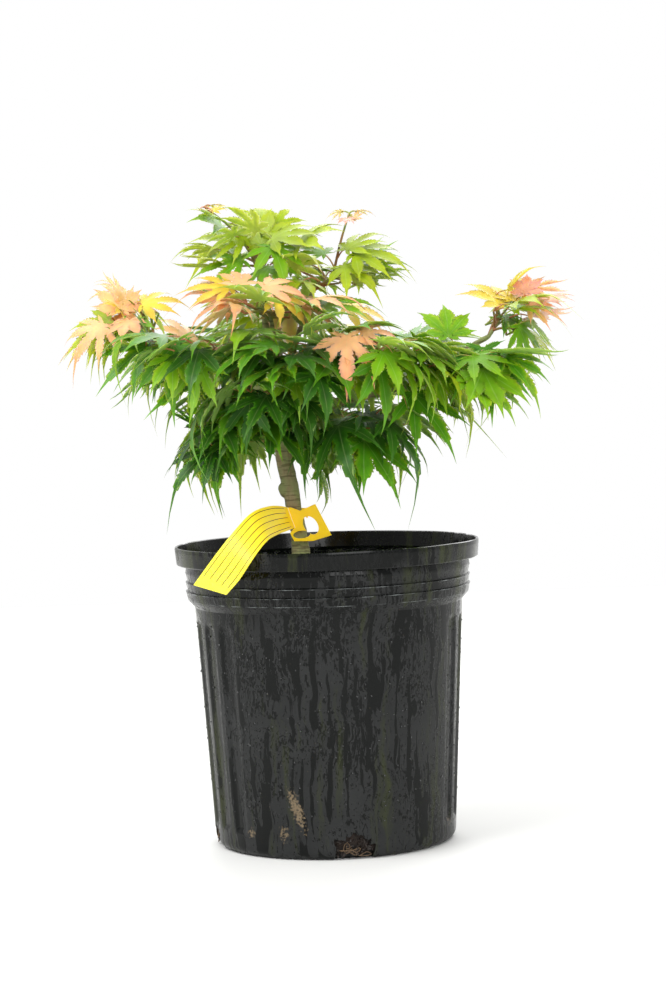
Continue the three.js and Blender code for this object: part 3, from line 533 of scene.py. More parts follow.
# %% The shell's grid
def turned_grid(name, profile, segments, outer_rows=0):
    """A closed solid of revolution, from its foot's middle out and back to the axis."""
    points = [(0, 0, profile[0][1])]
    for row, (radius, height) in enumerate(profile[1:-1], 1):
        for segment in range(segments):
            points.append(shell_point(radius, height, segment * 360 / segments, row < outer_rows))
    points.append((0, 0, profile[-1][1]))
    faces = []
    top_ring = len(points) - 1 - segments
    for segment in range(segments):
        after = (segment + 1) % segments
        faces.append((0, 1 + after, 1 + segment))
        for ring in range(1, top_ring, segments):
            a, b = ring + segment, ring + after
            faces.append((a, b, b + segments, a + segments))
        faces.append((top_ring + segment, top_ring + after, len(points) - 1))
    return mesh_object(name, points, faces)


outside = finer(pot_outside(), ROW_HEIGHT)
shell = turned_grid("shell", outside + finer(pot_inside(), 3 * ROW_HEIGHT), POT_SEGMENTS, len(outside))
print("shell:", len(shell.data.polygons), "faces")

# %% [markdown]
# ## The drains
# Four arched drains are cut through the foot of the wall. Roots and handling have torn their edges, so
# the cutters' outlines are ragged. A Boolean cuts them, because the cut crosses the wall and the floor.


# %% Cutters
def prism(name, front, back):
    """A closed solid between two outlines of as many points."""
    count = len(front)
    faces = [tuple(reversed(range(count))), tuple(range(count, 2 * count))]
    faces += [(n, (n + 1) % count, (n + 1) % count + count, n + count) for n in range(count)]
    made = mesh_object(name, list(front) + list(back), faces)
    face_outward(made)
    return made


def cut_out(target, cutters, name):
    """The target with the cutters' shapes taken out of it."""
    for cutter in cutters:
        cut = target.modifiers.new("cut", "BOOLEAN")
        cut.operation = "DIFFERENCE"
        cut.solver = "EXACT"
        cut.object = cutter
    made = evaluated_mesh(target, name)
    for cutter in cutters:
        bpy.data.objects.remove(cutter)
    return made


# %% Cut the drains
DRAINS = 4
DRAIN_TURN = 360 / DRAINS
DRAIN_WIDTH = 21
DRAIN_HEIGHT = 12.5
DRAIN_FOOT = -3
DRAIN_STEPS = 26
DRAIN_REACH = 7
TORN = 0.32
TEARS = 0.45
POT_SHARP_EDGE = 35


def drain_cutter(number):
    """An arch-topped block across the wall."""
    outline = [(-DRAIN_WIDTH / 2, DRAIN_FOOT), (DRAIN_WIDTH / 2, DRAIN_FOOT)]
    for step in range(DRAIN_STEPS + 1):
        angle = step / DRAIN_STEPS * math.pi
        outline.append((DRAIN_WIDTH / 2 * math.cos(angle), DRAIN_HEIGHT / 2 * (1 + math.sin(angle))))
    turn = math.radians(POT_TURN + number * DRAIN_TURN)
    out, side = Vector((math.sin(turn), -math.cos(turn), 0)), Vector((math.cos(turn), math.sin(turn), 0))
    ends = []
    for reach in (BODY_FOOT_RADIUS - DRAIN_REACH, BODY_FOOT_RADIUS + DRAIN_REACH):
        ends.append([])
        for across, height in outline:
            ragged = 1 + TORN * noise.noise(Vector((across * TEARS, height * TEARS, 3 * number)))
            ends[-1].append(out * reach + side * across * ragged + Vector((0, 0, height * ragged)))
    return prism("drain_cutter", *ends)


pot = cut_out(shell, [drain_cutter(number) for number in range(DRAINS)], "nursery_pot")
pot.data.materials.clear()
pot.data.materials.append(pot_plastic)
pot.data.shade_smooth()
pot.data.set_sharp_from_angle(angle=math.radians(POT_SHARP_EDGE))
finish_piece(pot, "pot_plastic", "pot")

# %% [markdown]
# ## The potting mix
# Composted bark and peat: dark, moist and crumbly, and darker low down. It fills the pot, so its sides
# follow the shell's inside. Its surface is lumpy, which a fractal noise gives to the mesh.

# %% Moist composted bark
# Matt fibres and grains in many browns, darkest low down.
CRUMBLE = 2.5 * MM
DARKENING_TOP = 130 * MM
DARKEST_UP_TO = 60 * MM

potting_mix, tree, place = new_material("moist_composted_bark")
grains = add_node(tree, "ShaderNodeTexNoise", {"Vector": place, "Scale": 1 / CRUMBLE, "Detail": 6.0})
shade = add_node(tree, "ShaderNodeMapRange", {"Value": grains, "From Min": 0.3, "From Max": 0.7})
earth = add_node(tree, "ShaderNodeMix", {
    "Factor": shade, "A": linear("#140e0a"), "B": linear("#4a3526")}, data_type="RGBA")
depth = add_node(tree, "ShaderNodeSeparateXYZ", {0: place})
# The mix turns nearly black towards the bottom, which shows only through the drains.
darkened = add_node(tree, "ShaderNodeMapRange", {
    "Value": depth.outputs["Z"], "From Min": DARKEST_UP_TO, "From Max": DARKENING_TOP,
    "To Min": 0.75, "To Max": 0.0})
earth = add_node(tree, "ShaderNodeMix", {
    "Factor": darkened, "A": earth, "B": linear("#080504")}, data_type="RGBA")
lumps = add_node(tree, "ShaderNodeBump", {"Height": grains, "Strength": 0.7, "Distance": 0.8 * MM})
end_material(tree, {"Base Color": earth, "Roughness": 0.92, "Normal": lumps})
print("soaked up to", DARKEST_UP_TO / MM, "mm")

# %% The body of the mix
SOIL_TOP = 146
SOIL_EDGE = 143.5
SOIL_FLAT = 14
SOIL_GAP = 0.3
SOIL_ROWS = 2.4
SOIL_SEGMENTS = 180
SOIL_RELIEF = 0.9
LUMP = 5 * MM
RISES_ABOVE = 130 * MM
DRAINS_BELOW = 20 * MM
DRAIN_HOLLOW = 0.012

wall = list(reversed(pot_inside(SOIL_GAP)[3:]))
surface = [(RING_RADIUS - RING_DEPTH - POT_WALL - SOIL_GAP, SOIL_EDGE),
           (SOIL_FLAT, SOIL_TOP), (0, SOIL_TOP)]
soil = turned_grid("potting_mix", finer(wall + surface, SOIL_ROWS), SOIL_SEGMENTS)
for corner in soil.data.vertices:
    lump = noise.fractal(corner.co / LUMP, 1.0, 2.0, 4)
    if corner.co.z > RISES_ABOVE:
        corner.co.z += (lump - 0.6) * SOIL_RELIEF * MM
    elif corner.co.z < DRAINS_BELOW:
        corner.co -= Vector((corner.co.x, corner.co.y, 0)) * DRAIN_HOLLOW * abs(lump)
soil.data.shade_smooth()
soil.data.materials.append(potting_mix)
finish_piece(soil, "potting_mix", "soil")

# %% [markdown]
# ## Chips, crumbs and drops
# Loose chips of bark lie on the mix, wet crumbs fill the drains, and beads of water cling to the pot's
# body. All three are small things strewn over a surface, so one tree scatters them from a fixed seed,
# each turned its own way. The surfaces themselves are only beds, and don't show.

# %% The scatter tree
STREWN, given = geometry_tree("strewn_pieces", {
    "Kinds": "Collection", "Density": "Float", "Smallest": "Float", "Largest": "Float",
    "Seed": "Int", "Material": "Material"})
strewn = add_node(STREWN, "GeometryNodeDistributePointsOnFaces", {
    "Mesh": given["Geometry"], "Density": given["Density"], "Seed": given["Seed"]})
kinds = add_node(STREWN, "GeometryNodeCollectionInfo", {
    "Collection": given["Kinds"], "Separate Children": True, "Reset Children": True})
turn = add_node(STREWN, "FunctionNodeRandomValue", {
    "Min": (0.0, 0.0, 0.0), "Max": (2 * math.pi,) * 3, "Seed": given["Seed"]}, data_type="FLOAT_VECTOR")
size = add_node(STREWN, "FunctionNodeRandomValue", {
    "Min": given["Smallest"], "Max": given["Largest"], "Seed": given["Seed"]}, data_type="FLOAT")
placed = add_node(STREWN, "GeometryNodeInstanceOnPoints", {
    "Points": strewn, "Instance": kinds, "Pick Instance": True, "Rotation": turn, "Scale": size})
end_tree(STREWN, placed, given["Material"])
print("the scatter tree has", len(STREWN.nodes), "nodes")


def strewn_over(name, source, kinds, density, sizes, seed, material):
    """Things strewn over a source, at so many a square metre, from the smallest to the largest size."""
    node_modifier(source, STREWN, {
        "Kinds": kinds, "Density": density, "Smallest": sizes[0] * MM, "Largest": sizes[1] * MM,
        "Seed": seed, "Material": material})
    return evaluated_mesh(source, name)


def on_wall(angle, height, radius):
    """A point at an angle from the front, in degrees, and a height."""
    turn = math.radians(angle)
    return (math.sin(turn) * radius, -math.cos(turn) * radius, height)


# %% Chips of bark
# Flakes of bark are matt and dark, a little paler where they have dried.
CHIP_KINDS = 6
CHIP_SHAPE = (1.3, 0.75, 0.45)
CHIP_JAGS = 0.7
CHIPS_A_SQUARE_METRE = 130000.0
CHIP_SIZES = (0.7, 2.3)
CHIP_SEED = 5
BED_RADIUS = 66
BED_DEPTH = 0.5
BED_SEGMENTS = 36
TRUNK_SHARE = 0.1
TRUNK_X = -14


def flake(kind):
    """A jagged flake, flatter than it is wide."""
    chip = bmesh.new()
    bmesh.ops.create_icosphere(chip, subdivisions=1, radius=1.0)
    for corner in chip.verts:
        jagged = 1 + CHIP_JAGS * noise.noise(corner.co * 1.7 + Vector((7 * kind, 0, 0)))
        corner.co = Vector([c * share for c, share in zip(corner.co, CHIP_SHAPE)]) * jagged
    mesh = bpy.data.meshes.new("flake")
    chip.to_mesh(mesh)
    chip.free()
    return mesh


flakes = kinds_of("flake_kinds", [flake(kind) for kind in range(CHIP_KINDS)])
rim = [on_wall(step * 360 / BED_SEGMENTS, SOIL_TOP - BED_DEPTH, BED_RADIUS) for step in range(BED_SEGMENTS)]
round_trunk = [(x * TRUNK_SHARE + TRUNK_X, y * TRUNK_SHARE, z) for x, y, z in rim]
faces = [(n, (n + 1) % BED_SEGMENTS, (n + 1) % BED_SEGMENTS + BED_SEGMENTS, n + BED_SEGMENTS)
         for n in range(BED_SEGMENTS)]
bed = mesh_object("chip_bed", rim + round_trunk, faces)
dark_chips = mottled("dark_bark_chips", "#120c08", "#523a28", grain=3, rough=0.85, spread=(0.35, 0.7))
finish_piece(strewn_over("bark_chips", bed, flakes, CHIPS_A_SQUARE_METRE, CHIP_SIZES, CHIP_SEED,
                         dark_chips), "potting_mix")

# %% Crumbs in the drains
# The crumbs in a drain are nearly black and catch a soft light.
DRAIN_BED_TURN = 9
DRAIN_BED_HEIGHTS = (2.2, DRAIN_HEIGHT - 1.5)
DRAIN_BED_INSET = 1.7
CRUMBS_A_SQUARE_METRE = 420000.0
CRUMB_SIZES = (0.5, 1.3)
CRUMB_SEED = 9

points, faces = [], []
for number in range(DRAINS):
    for height in DRAIN_BED_HEIGHTS:
        points += [on_wall(POT_TURN + DRAIN_TURN * number + share * DRAIN_BED_TURN, height,
                           BODY_FOOT_RADIUS - DRAIN_BED_INSET) for share in (-1, 0, 1)]
    first = 6 * number
    faces += [(first + n, first + n + 1, first + n + 4, first + n + 3) for n in (0, 1)]
drain_crumb_finish = mottled("dark_drain_crumbs", "#060403", "#2c1e14", grain=2, rough=0.5)
finish_piece(strewn_over("drain_crumbs", mesh_object("drain_bed", points, faces), flakes,
                         CRUMBS_A_SQUARE_METRE, CRUMB_SIZES, CRUMB_SEED, drain_crumb_finish), "potting_mix")
discard(flakes)

# %% Beads of water
# A drop on black plastic is smooth and mirrors the sky in a point; what lies behind it stays black.
BEADS_A_SQUARE_METRE = 20000.0
BEAD_SIZES = (0.2, 0.65)
BEAD_SEED = 3
BEAD_HEIGHTS = range(18, 128, 8)
BEAD_SEGMENTS = 180

water_bead, tree, place = new_material("water_bead_on_black")
dust = add_node(tree, "ShaderNodeTexNoise", {"Vector": place, "Scale": 1 / (10 * MM)})
bead_gloss = add_node(tree, "ShaderNodeMapRange", {"Value": dust, "To Min": 0.02, "To Max": 0.12})
end_material(tree, {"Base Color": linear("#141616"), "Roughness": bead_gloss, "Specular IOR Level": 0.9})

drop = bmesh.new()
bmesh.ops.create_icosphere(drop, subdivisions=1, radius=1.0)
drop_mesh = bpy.data.meshes.new("water_drop")
drop.to_mesh(drop_mesh)
drop.free()
drop_mesh.shade_smooth()
drops = kinds_of("drop_kinds", [drop_mesh])
points, faces = [], []
for row, height in enumerate(BEAD_HEIGHTS):
    rise = (height - FOOT_ROUNDING) / (SHOULDER_FOOT - FOOT_ROUNDING)
    radius = BODY_FOOT_RADIUS + (BODY_TOP_RADIUS - BODY_FOOT_RADIUS) * rise
    for segment in range(BEAD_SEGMENTS):
        points.append(shell_point(radius, height, segment * 360 / BEAD_SEGMENTS, True))
        if row:
            here, before = row * BEAD_SEGMENTS, (row - 1) * BEAD_SEGMENTS
            after = (segment + 1) % BEAD_SEGMENTS
            faces.append((before + segment, before + after, here + after, here + segment))
finish_piece(strewn_over("water_beads", mesh_object("bead_field", points, faces), drops,
                         BEADS_A_SQUARE_METRE, BEAD_SIZES, BEAD_SEED, water_bead), "pot_plastic")
discard(drops)

# %% [markdown]
# ## Bark
# The trunk is grey-brown with a green bloom of algae, ringed by old leaf scars, and the graft stands out
# as a paler, browner callus. The colours are three layers: streaks of cork along the wood, the bloom over
# them in soft patches, and dark rings on top, which are a noise squeezed flat across the limb.

# %% Bark
# Young bark is matt and corky, and the bloom on it soft green.
CORK = 1.6 * MM
BLOOM = 9 * MM
SCARS = 1.1 * MM

bark, tree, place = new_material("green_brown_bark")
stretched = add_node(tree, "ShaderNodeMapping", {"Vector": place, "Scale": (1, 1, 0.35)})
streaks = add_node(tree, "ShaderNodeTexNoise", {"Vector": stretched, "Scale": 1 / CORK, "Detail": 6.0})
wood = add_node(tree, "ShaderNodeMix", {
    "Factor": streaks, "A": linear("#67593d"), "B": linear("#b5a77c")}, data_type="RGBA")
bloom = add_node(tree, "ShaderNodeTexNoise", {"Vector": place, "Scale": 1 / BLOOM, "Detail": 3.0})
bloom_share = add_node(tree, "ShaderNodeMapRange", {
    "Value": bloom, "From Min": 0.36, "From Max": 0.56, "To Max": 0.85})
green_wood = add_node(tree, "ShaderNodeMix", {
    "Factor": bloom_share, "A": wood, "B": linear("#86915a")}, data_type="RGBA")
flattened = add_node(tree, "ShaderNodeMapping", {"Vector": place, "Scale": (0.12, 0.12, 1)})
ring_noise = add_node(tree, "ShaderNodeTexNoise", {"Vector": flattened, "Scale": 1 / SCARS, "Detail": 2.0})
ringed = add_node(tree, "ShaderNodeMapRange", {
    "Value": ring_noise, "From Min": 0.52, "From Max": 0.62, "To Max": 0.55})
scarred = add_node(tree, "ShaderNodeMix", {
    "Factor": ringed, "A": green_wood, "B": linear("#43331f")}, data_type="RGBA")
crack = add_node(tree, "ShaderNodeBump", {"Height": streaks, "Strength": 0.6, "Distance": 0.3 * MM})
end_material(tree, {"Base Color": scarred, "Roughness": 0.78, "Normal": crack})
print("the bark has", len(tree.nodes), "nodes")

# %% Limbs of the source
TRUNK_PATH = [(-14, 0, 146.3), (-14, 0, 151), (-14.4, 0, 160), (-15.2, 0, 170), (-17.2, 0, 181),
              (-18.6, 0, 192), (-20.9, 0, 204), (-22, 0, 216), (-22, 0, 231)]
TRUNK_RADII = [7.4, 5.6, 4.7, 4.3, 4.2, 4.5, 4.6, 4.4, 3.9]
CALLUS_CENTRE = (-21.6, -0.8, 190.5)
CALLUS_SIZE = (3.4, 3.6, 4.6)
BOUGHS = {
    "right_bough": ([(-22, 0, 223), (13, -6, 238), (37, -8, 242), (66, -8, 256), (88, -6, 268)], 2.9, 1.4),
    "right_front_bough": ([(5, -5, 235), (20, -18, 246), (26, -28, 254)], 1.8, 1.2),
    "left_bough": ([(-22, 0, 220), (-40, -4, 246), (-64, -8, 264), (-84, -8, 273)], 2.8, 1.4),
    "left_front_bough": ([(-40, -4, 246), (-50, -17, 257), (-55, -24, 261)], 1.7, 1.2),
    "leader": ([(-22, 0, 230), (-22, 1, 244), (-27, 3, 266), (-31, 5, 300)], 3.4, 1.6),
    "leader_right": ([(-22, 1, 246), (-12, 6, 272), (-4, 8, 294)], 1.9, 1.3),
    "front_bough": ([(-22.7, 1.5, 252), (-24, -12, 266), (-25, -20, 278)], 1.8, 1.2),
    "middle_bough": ([(-22, 0, 217), (-16, -14, 240), (-12, -24, 249)], 2, 1.3),
    "back_left_bough": ([(-22, 0, 225), (-36, 26, 246), (-52, 48, 256)], 2.4, 1.3),
    "back_right_bough": ([(-22, 0, 228), (2, 26, 246), (24, 48, 254)], 2.4, 1.3),
    "back_bough": ([(-22.5, 1.3, 250), (-22, 18, 268), (-22, 30, 280)], 1.8, 1.2),
}


def along_curve(path, share):
    """A point on the smooth curve through a path's points, at a share of the way along it."""
    points = [np.array(p, float) for p in path]
    points = [2 * points[0] - points[1], *points, 2 * points[-1] - points[-2]]
    place = share * (len(path) - 1)
    first = min(int(place), len(path) - 2)
    t = place - first
    p0, p1, p2, p3 = points[first:first + 4]
    d0, d1, d2 = (max(1e-6, np.linalg.norm(b - a)) ** 0.5 for a, b in ((p0, p1), (p1, p2), (p2, p3)))
    start = ((p1 - p0) / d0 - (p2 - p0) / (d0 + d1) + (p2 - p1) / d1) * d1
    end = ((p2 - p1) / d1 - (p3 - p1) / (d1 + d2) + (p3 - p2) / d2) * d1
    return (p1 + start * t + (3 * (p2 - p1) - 2 * start - end) * t * t
            + (2 * (p1 - p2) + start + end) * t ** 3)


def curve_points(path, steps):
    return [along_curve(path, step / steps) for step in range(steps + 1)]


print(len(BOUGHS), "boughs; the trunk ends at", TRUNK_PATH[-1], "mm")

# %% [markdown]
# ## Tubes by Geometry Nodes
# Limbs, twigs, petioles and roots are all tubes that follow a path and change thickness on the way. One
# tree makes them all: it turns edges into curves and sweeps a circle along them, scaled by a thickness
# that each point carries.

# %% The tube tree
TUBES, given = geometry_tree("tapering_tubes", {"Sides": "Int", "Material": "Material"})
thickness = add_node(TUBES, "GeometryNodeInputNamedAttribute", {"Name": "thickness"}, data_type="FLOAT")
lines = add_node(TUBES, "GeometryNodeMeshToCurve", {"Mesh": given["Geometry"]})
ring = add_node(TUBES, "GeometryNodeCurvePrimitiveCircle", {"Resolution": given["Sides"], "Radius": 1.0})
tubes = add_node(TUBES, "GeometryNodeCurveToMesh", {
    "Curve": lines, "Profile Curve": ring, "Scale": thickness, "Fill Caps": True})
rounded = add_node(TUBES, "GeometryNodeSetShadeSmooth", {0: tubes})
end_tree(TUBES, rounded, given["Material"])
print("the tube tree has", len(TUBES.nodes), "nodes")


def tubes_along(name, paths, sides, material):
    """One mesh of tubes. Each path is a list of (point, radius), in millimetres."""
    points, radii, edges = [], [], []
    for path in paths:
        first = len(points)
        points += [point for point, _ in path]
        radii += [radius * MM for _, radius in path]
        edges += [(n, n + 1) for n in range(first, len(points) - 1)]
    source = mesh_object(name + "_paths", points, [], edges)
    source.data.attributes.new("thickness", "FLOAT", "POINT").data.foreach_set("value", radii)
    node_modifier(source, TUBES, {"Sides": sides, "Material": material})
    return evaluated_mesh(source, name)


# %% [markdown]
# ## Fine roots
# The photograph shows roots matted in the front drain. Each root starts at a place of its own and wanders
# as a smooth noise tells it, close behind the opening.

# %% Fine roots in the drains
# Young roots are thin and pale, and browner where they are older.
ROOTS_A_DRAIN = 7
ROOT_STEPS = 9
ROOT_RADIUS = 0.22
ROOT_DEPTH = 1.6
ROOT_LOWEST = 0.8
ROOT_MIDDLE = 5
ROOT_START = (9, 6)
ROOT_DRIFT = (7, 5)
ROOT_BEND = 0.28
ROOT_SEED = 7


def root_line(number):
    start = noise.noise_vector(Vector((number * 3.1, 9, 4)))
    line = []
    for step in range(ROOT_STEPS):
        drift = noise.noise_vector(Vector((number * 1.7, step * ROOT_BEND, 0)))
        angle = POT_TURN + DRAIN_TURN * (number % DRAINS) + ROOT_START[0] * start.x + ROOT_DRIFT[0] * drift.x
        height = ROOT_MIDDLE + ROOT_START[1] * start.y + ROOT_DRIFT[1] * drift.y
        height = min(DRAIN_HEIGHT - 2, max(ROOT_LOWEST, height))
        radius = BODY_FOOT_RADIUS - ROOT_DEPTH * (1 - abs(drift.z))
        line.append((on_wall(angle, height, radius), ROOT_RADIUS))
    return line


fine_root = mottled("fine_root", "#22160e", "#8c7254", grain=4, rough=0.7, detail=2.0)
# The vector noise starts from the clock unless it gets a seed.
noise.seed_set(ROOT_SEED)
roots = [root_line(number) for number in range(DRAINS * ROOTS_A_DRAIN)]
finish_piece(tubes_along("fine_roots", roots, 4, fine_root), "potting_mix")

# %% [markdown]
# ## Growing the crown
# The source's rule, written again: a stem runs from each limb's tip to a mass's heart, and shoots leave
# it by the golden angle, each ending in an opposite pair of leaves. The same seeds give the same shoots.
# Here every shoot grows, and it is carried further: where leaves hang well down, a second, smaller pair
# stands halfway along it, and two masses carry a sprig of unfolding leaves above them.

# %% The masses
Mass = namedtuple("Mass", "start heart spread pairs faces rise hang leaf seed sprigs tints")
MASSES = {
    # start: a bough, or a place; faces, rise and hang in degrees; leaf: its shortest and longest
    "leaves_left_tip": ("left_bough", (-98, -8, 283), (15, 18, 18), 16, 150, (75, -60), (-8, 62),
                        (25, 34), 11, [], ["fresh", "green", "fresh", "lime"]),
    "leaves_right_tip": ("right_bough", (98, -5, 280), (13, 18, 18), 9, 60, (70, -50), (-8, 62),
                         (24, 32), 19, [], ["lime", "fresh", "green", "fresh"]),
    "leaves_centre_front": ("front_bough", (-26, -30, 286), (22, 14, 8), 14, 200, (40, -30), (-5, 40),
                            (24, 34), 20, [], ["peach", "fresh", "lime", "fresh"]),
    "leaves_top_left": ("leader", (-34, 5, 318), (20, 18, 20), 11, 40, (80, -45), (-35, 40),
                        (24, 34), 21, [(-60, 6, 344)], ["lime", "fresh", "lime"]),
    "leaves_top_right": ("leader_right", (8, 6, 304), (18, 18, 12), 11, 0, (50, -40), (-12, 40),
                         (24, 34), 22, [(18, 4, 338)], ["fresh", "lime", "fresh"]),
    # The lower and middle masses take mostly the deepest green, which is partly painted shade under the
    # crown.
    "leaves_lower_left": ((-21.8, 0, 210), (-48, -4, 222), (22, 20, 14), 13, 200, (40, -50), (40, 78),
                          (34, 44), 13, [], ["deep", "green", "deep"]),
    "leaves_lower_right": ((-21.8, 0, 212), (16, -8, 221), (26, 22, 14), 14, 330, (40, -50), (40, 80),
                           (34, 44), 15, [], ["deep", "green", "deep"]),
    "leaves_lower_front": ((-22, 0, 219), (-34, -30, 240), (22, 14, 10), 18, 260, (30, -50), (40, 80),
                           (28, 38), 14, [], ["deep", "green", "deep"]),
    "leaves_lower_back": ((-22, 0, 216), (-18, 42, 228), (30, 16, 12), 8, 90, (30, -50), (42, 76),
                          (34, 44), 16, [], ["deep", "green"]),
    "leaves_right_front": ("right_front_bough", (30, -38, 260), (20, 16, 12), 14, 270, (50, -50), (20, 76),
                           (28, 38), 17, [], ["fresh", "green", "fresh"]),
    "leaves_middle_front": ("middle_bough", (-12, -36, 261), (26, 16, 16), 18, 265, (40, -50), (25, 76),
                            (28, 38), 31, [], ["deep", "green", "deep", "fresh"]),
    "leaves_left_front": ("left_front_bough", (-60, -30, 264), (24, 18, 14), 18, 250, (40, -50), (20, 74),
                          (28, 38), 12, [], ["green", "fresh", "deep"]),
    "leaves_right_middle": ((40, -8, 243), (66, -26, 250), (26, 12, 14), 18, 280, (50, -50), (30, 76),
                            (28, 38), 18, [], ["fresh", "lime", "fresh", "green"]),
    "leaves_back_left": ("back_left_bough", (-62, 56, 264), (26, 22, 16), 12, 130, (50, -50), (10, 70),
                         (32, 42), 23, [], ["green", "fresh", "deep"]),
    "leaves_back_right": ("back_right_bough", (32, 56, 260), (28, 22, 16), 9, 50, (50, -50), (10, 70),
                          (32, 42), 24, [], ["green", "deep", "fresh"]),
    "leaves_back_top": ("back_bough", (-20, 46, 284), (24, 18, 12), 9, 90, (40, -40), (5, 60),
                        (28, 38), 25, [], ["fresh", "lime", "green"]),
}
MASSES = {name: Mass(*values) for name, values in MASSES.items()}
print(len(MASSES), "masses with", sum(mass.pairs for mass in MASSES.values()), "shoots")

# %% Where the newest shoots have coloured
COLOURED = [
    # place, reach, tint
    ((-103, -8, 300), 20, "peach"),
    ((-128, -8, 280), 20, "peach"),
    ((-78, -8, 300), 12, "yellow"),
    ((-45, -32, 295), 14, "peach"),
    ((-14, -32, 292), 12, "peach"),
    ((27, -45, 270), 13, "peach"),
    ((92, -5, 294), 13, "yellow"),
    ((118, -5, 294), 18, "pink"),
    ((-60, 6, 344), 8, "pink"),
    ((18, 4, 338), 8, "pink"),
    ((-70, 60, 285), 14, "peach"),
    ((20, 60, 280), 14, "yellow"),
]
print(len(COLOURED), "places with coloured leaves")

# %% The growing rule
GOLDEN_ANGLE = 137.5
GOLDEN_SHARE = 0.618
CROWN_AXIS = np.array((-20, 0, 0))
CROWN_REACH = 50
STEM_ARCH = 2
STEM_STRAIGHT = 3
TIP_SHARE = 0.02


def mix(start, end, share):
    return start + (end - start) * share


def seeded_random(seed):
    """Repeatable numbers from 0 to 1, the same ones as the source draws."""
    state = seed
    while True:
        state = (state + 0x6D2B79F5) & 0xFFFFFFFF
        mixed = (state ^ (state >> 15)) * (state | 1) & 0xFFFFFFFF
        mixed ^= (mixed + (mixed ^ (mixed >> 7)) * (mixed | 61)) & 0xFFFFFFFF
        yield (mixed ^ (mixed >> 14)) / 4294967296


def scatter_from(random):
    """A function that draws from minus half a width to plus half of it."""
    return lambda width: (next(random) - 0.5) * width


draws = seeded_random(1)
print("first draws of seed 1:", [round(next(draws), 3) for _ in range(3)])


# %% Directions, leaves and stems
def heading(turn, climb):
    """A unit vector that is turned from +X round the plant and climbs by an angle, both in degrees."""
    turn, climb = math.radians(turn), math.radians(climb)
    return np.array((math.cos(climb) * math.cos(turn), math.cos(climb) * math.sin(turn), math.sin(climb)))


def place_leaf(base, turn, hang, roll, length):
    """A leaf: where its blade starts, and its axes along, across and up as a rotation matrix."""
    along = Vector(heading(turn, -hang))
    side = Vector(heading(turn + 90, 0))
    axes = Matrix((along, side, along.cross(side))).transposed()
    return {"base": np.array(base, float), "axes": Matrix.Rotation(math.radians(roll), 3, along) @ axes,
            "length": length}


def stem_path(mass):
    """A mass's stem: straight on from its bough's tip to its heart, or arched from its start to there."""
    start, heart = mass.start, np.array(mass.heart, float)
    if isinstance(start, str):
        path = BOUGHS[start][0]
        tip, before = along_curve(path, 1), along_curve(path, 1 - TIP_SHARE)
        straight = tip + STEM_STRAIGHT * (tip - before) / np.linalg.norm(tip - before)
        return [tip, straight, (straight + heart) / 2, heart]
    middle = (np.array(start) + heart) / 2 + np.array((0, 0, STEM_ARCH))
    return [np.array(start, float), middle, heart]


stems = [stem_path(mass) for mass in MASSES.values()]
print("longest stem, mm:", round(max(math.dist(path[0], path[-1]) for path in stems)))

# %% Shoots of a mass
TURN_SCATTER = 24
HANG_SCATTER = 20
ROLL_SCATTER = 30
PAIR_ANGLE = 42
PETIOLE_SHARE = 0.42
PETIOLE_RISE = 12
NEAREST_SHOOT = 0.35
SHOOTS_START = 0.3
SPRIG_LEAF = 10
SPRIG_HANG_SCATTER = 60


def leaf_pair(end, turn, length_range, hang, random, scatter):
    """An opposite pair of leaves on petioles at a twig's end."""
    leaves = []
    for hand in (-1, 1):
        length = mix(*length_range, next(random))
        outward = (end - CROWN_AXIS) / CROWN_REACH + heading(turn + hand * PAIR_ANGLE, 0)
        leaf_turn = math.degrees(math.atan2(outward[1], outward[0])) + scatter(TURN_SCATTER)
        leaf_hang = hang + scatter(HANG_SCATTER)
        petiole = heading(leaf_turn, PETIOLE_RISE + scatter(TURN_SCATTER))
        base = end + petiole * PETIOLE_SHARE * length
        next(random)  # the source draws the leaf's curl here, which has its own values in this script
        leaves.append(place_leaf(base, leaf_turn, leaf_hang, scatter(ROLL_SCATTER), length))
    return leaves


# %% Grow the masses
def grow_sprig(mass, sprig, scatter):
    """A twig above the mass that ends in two leaves that are just unfolding."""
    end = np.array(sprig, float)
    leaves = []
    for number in range(2):
        turn = mass.faces + number * 180 + scatter(TURN_SCATTER)
        base = end + heading(turn, PETIOLE_RISE) * PETIOLE_SHARE * SPRIG_LEAF
        leaves.append(place_leaf(base, turn, scatter(SPRIG_HANG_SCATTER), 0, SPRIG_LEAF))
    return {"start": np.array(mass.heart, float), "end": end, "leaves": leaves, "turn": turn, "share": 0.0}


def grow_mass(mass):
    """The shoots of a mass, as the source grows them: where each starts and ends, and its leaves."""
    random = seeded_random(mass.seed)
    scatter = scatter_from(random)
    stem = stem_path(mass)
    shoots = []
    for number in range(mass.pairs):
        share = number / (mass.pairs - 1)
        turn = mass.faces + number * GOLDEN_ANGLE + scatter(TURN_SCATTER)
        way = heading(turn, mix(*mass.rise, share) + scatter(TURN_SCATTER / 2)) * np.array(mass.spread)
        end = np.array(mass.heart) + way * mix(NEAREST_SHOOT, 1, next(random))
        leaves = leaf_pair(end, turn, mass.leaf, mix(*mass.hang, share), random, scatter)
        start = along_curve(stem, mix(SHOOTS_START, 1, (number * GOLDEN_SHARE) % 1))
        shoots.append({"start": start, "end": end, "leaves": leaves, "turn": turn, "share": share})
    return shoots + [grow_sprig(mass, sprig, scatter) for sprig in mass.sprigs]


grown = {name: grow_mass(mass) for name, mass in MASSES.items()}
print("shoots of the source's rule:", sum(len(shoots) for shoots in grown.values()))

# %% [markdown]
# ## The leaf's shape
# A maple leaf is palmate: long lobes spread from one point, each widest halfway, toothed, and drawn out
# to a thread. A flat cut-out would look like paper, so the blade is a thin closed body. Each lobe is
# folded up a little on either side of its midrib, and its tip droops. Eight leaves that differ are made
# once, and Geometry Nodes put one of them at each place, because a crown repeats leaves hundreds of times.

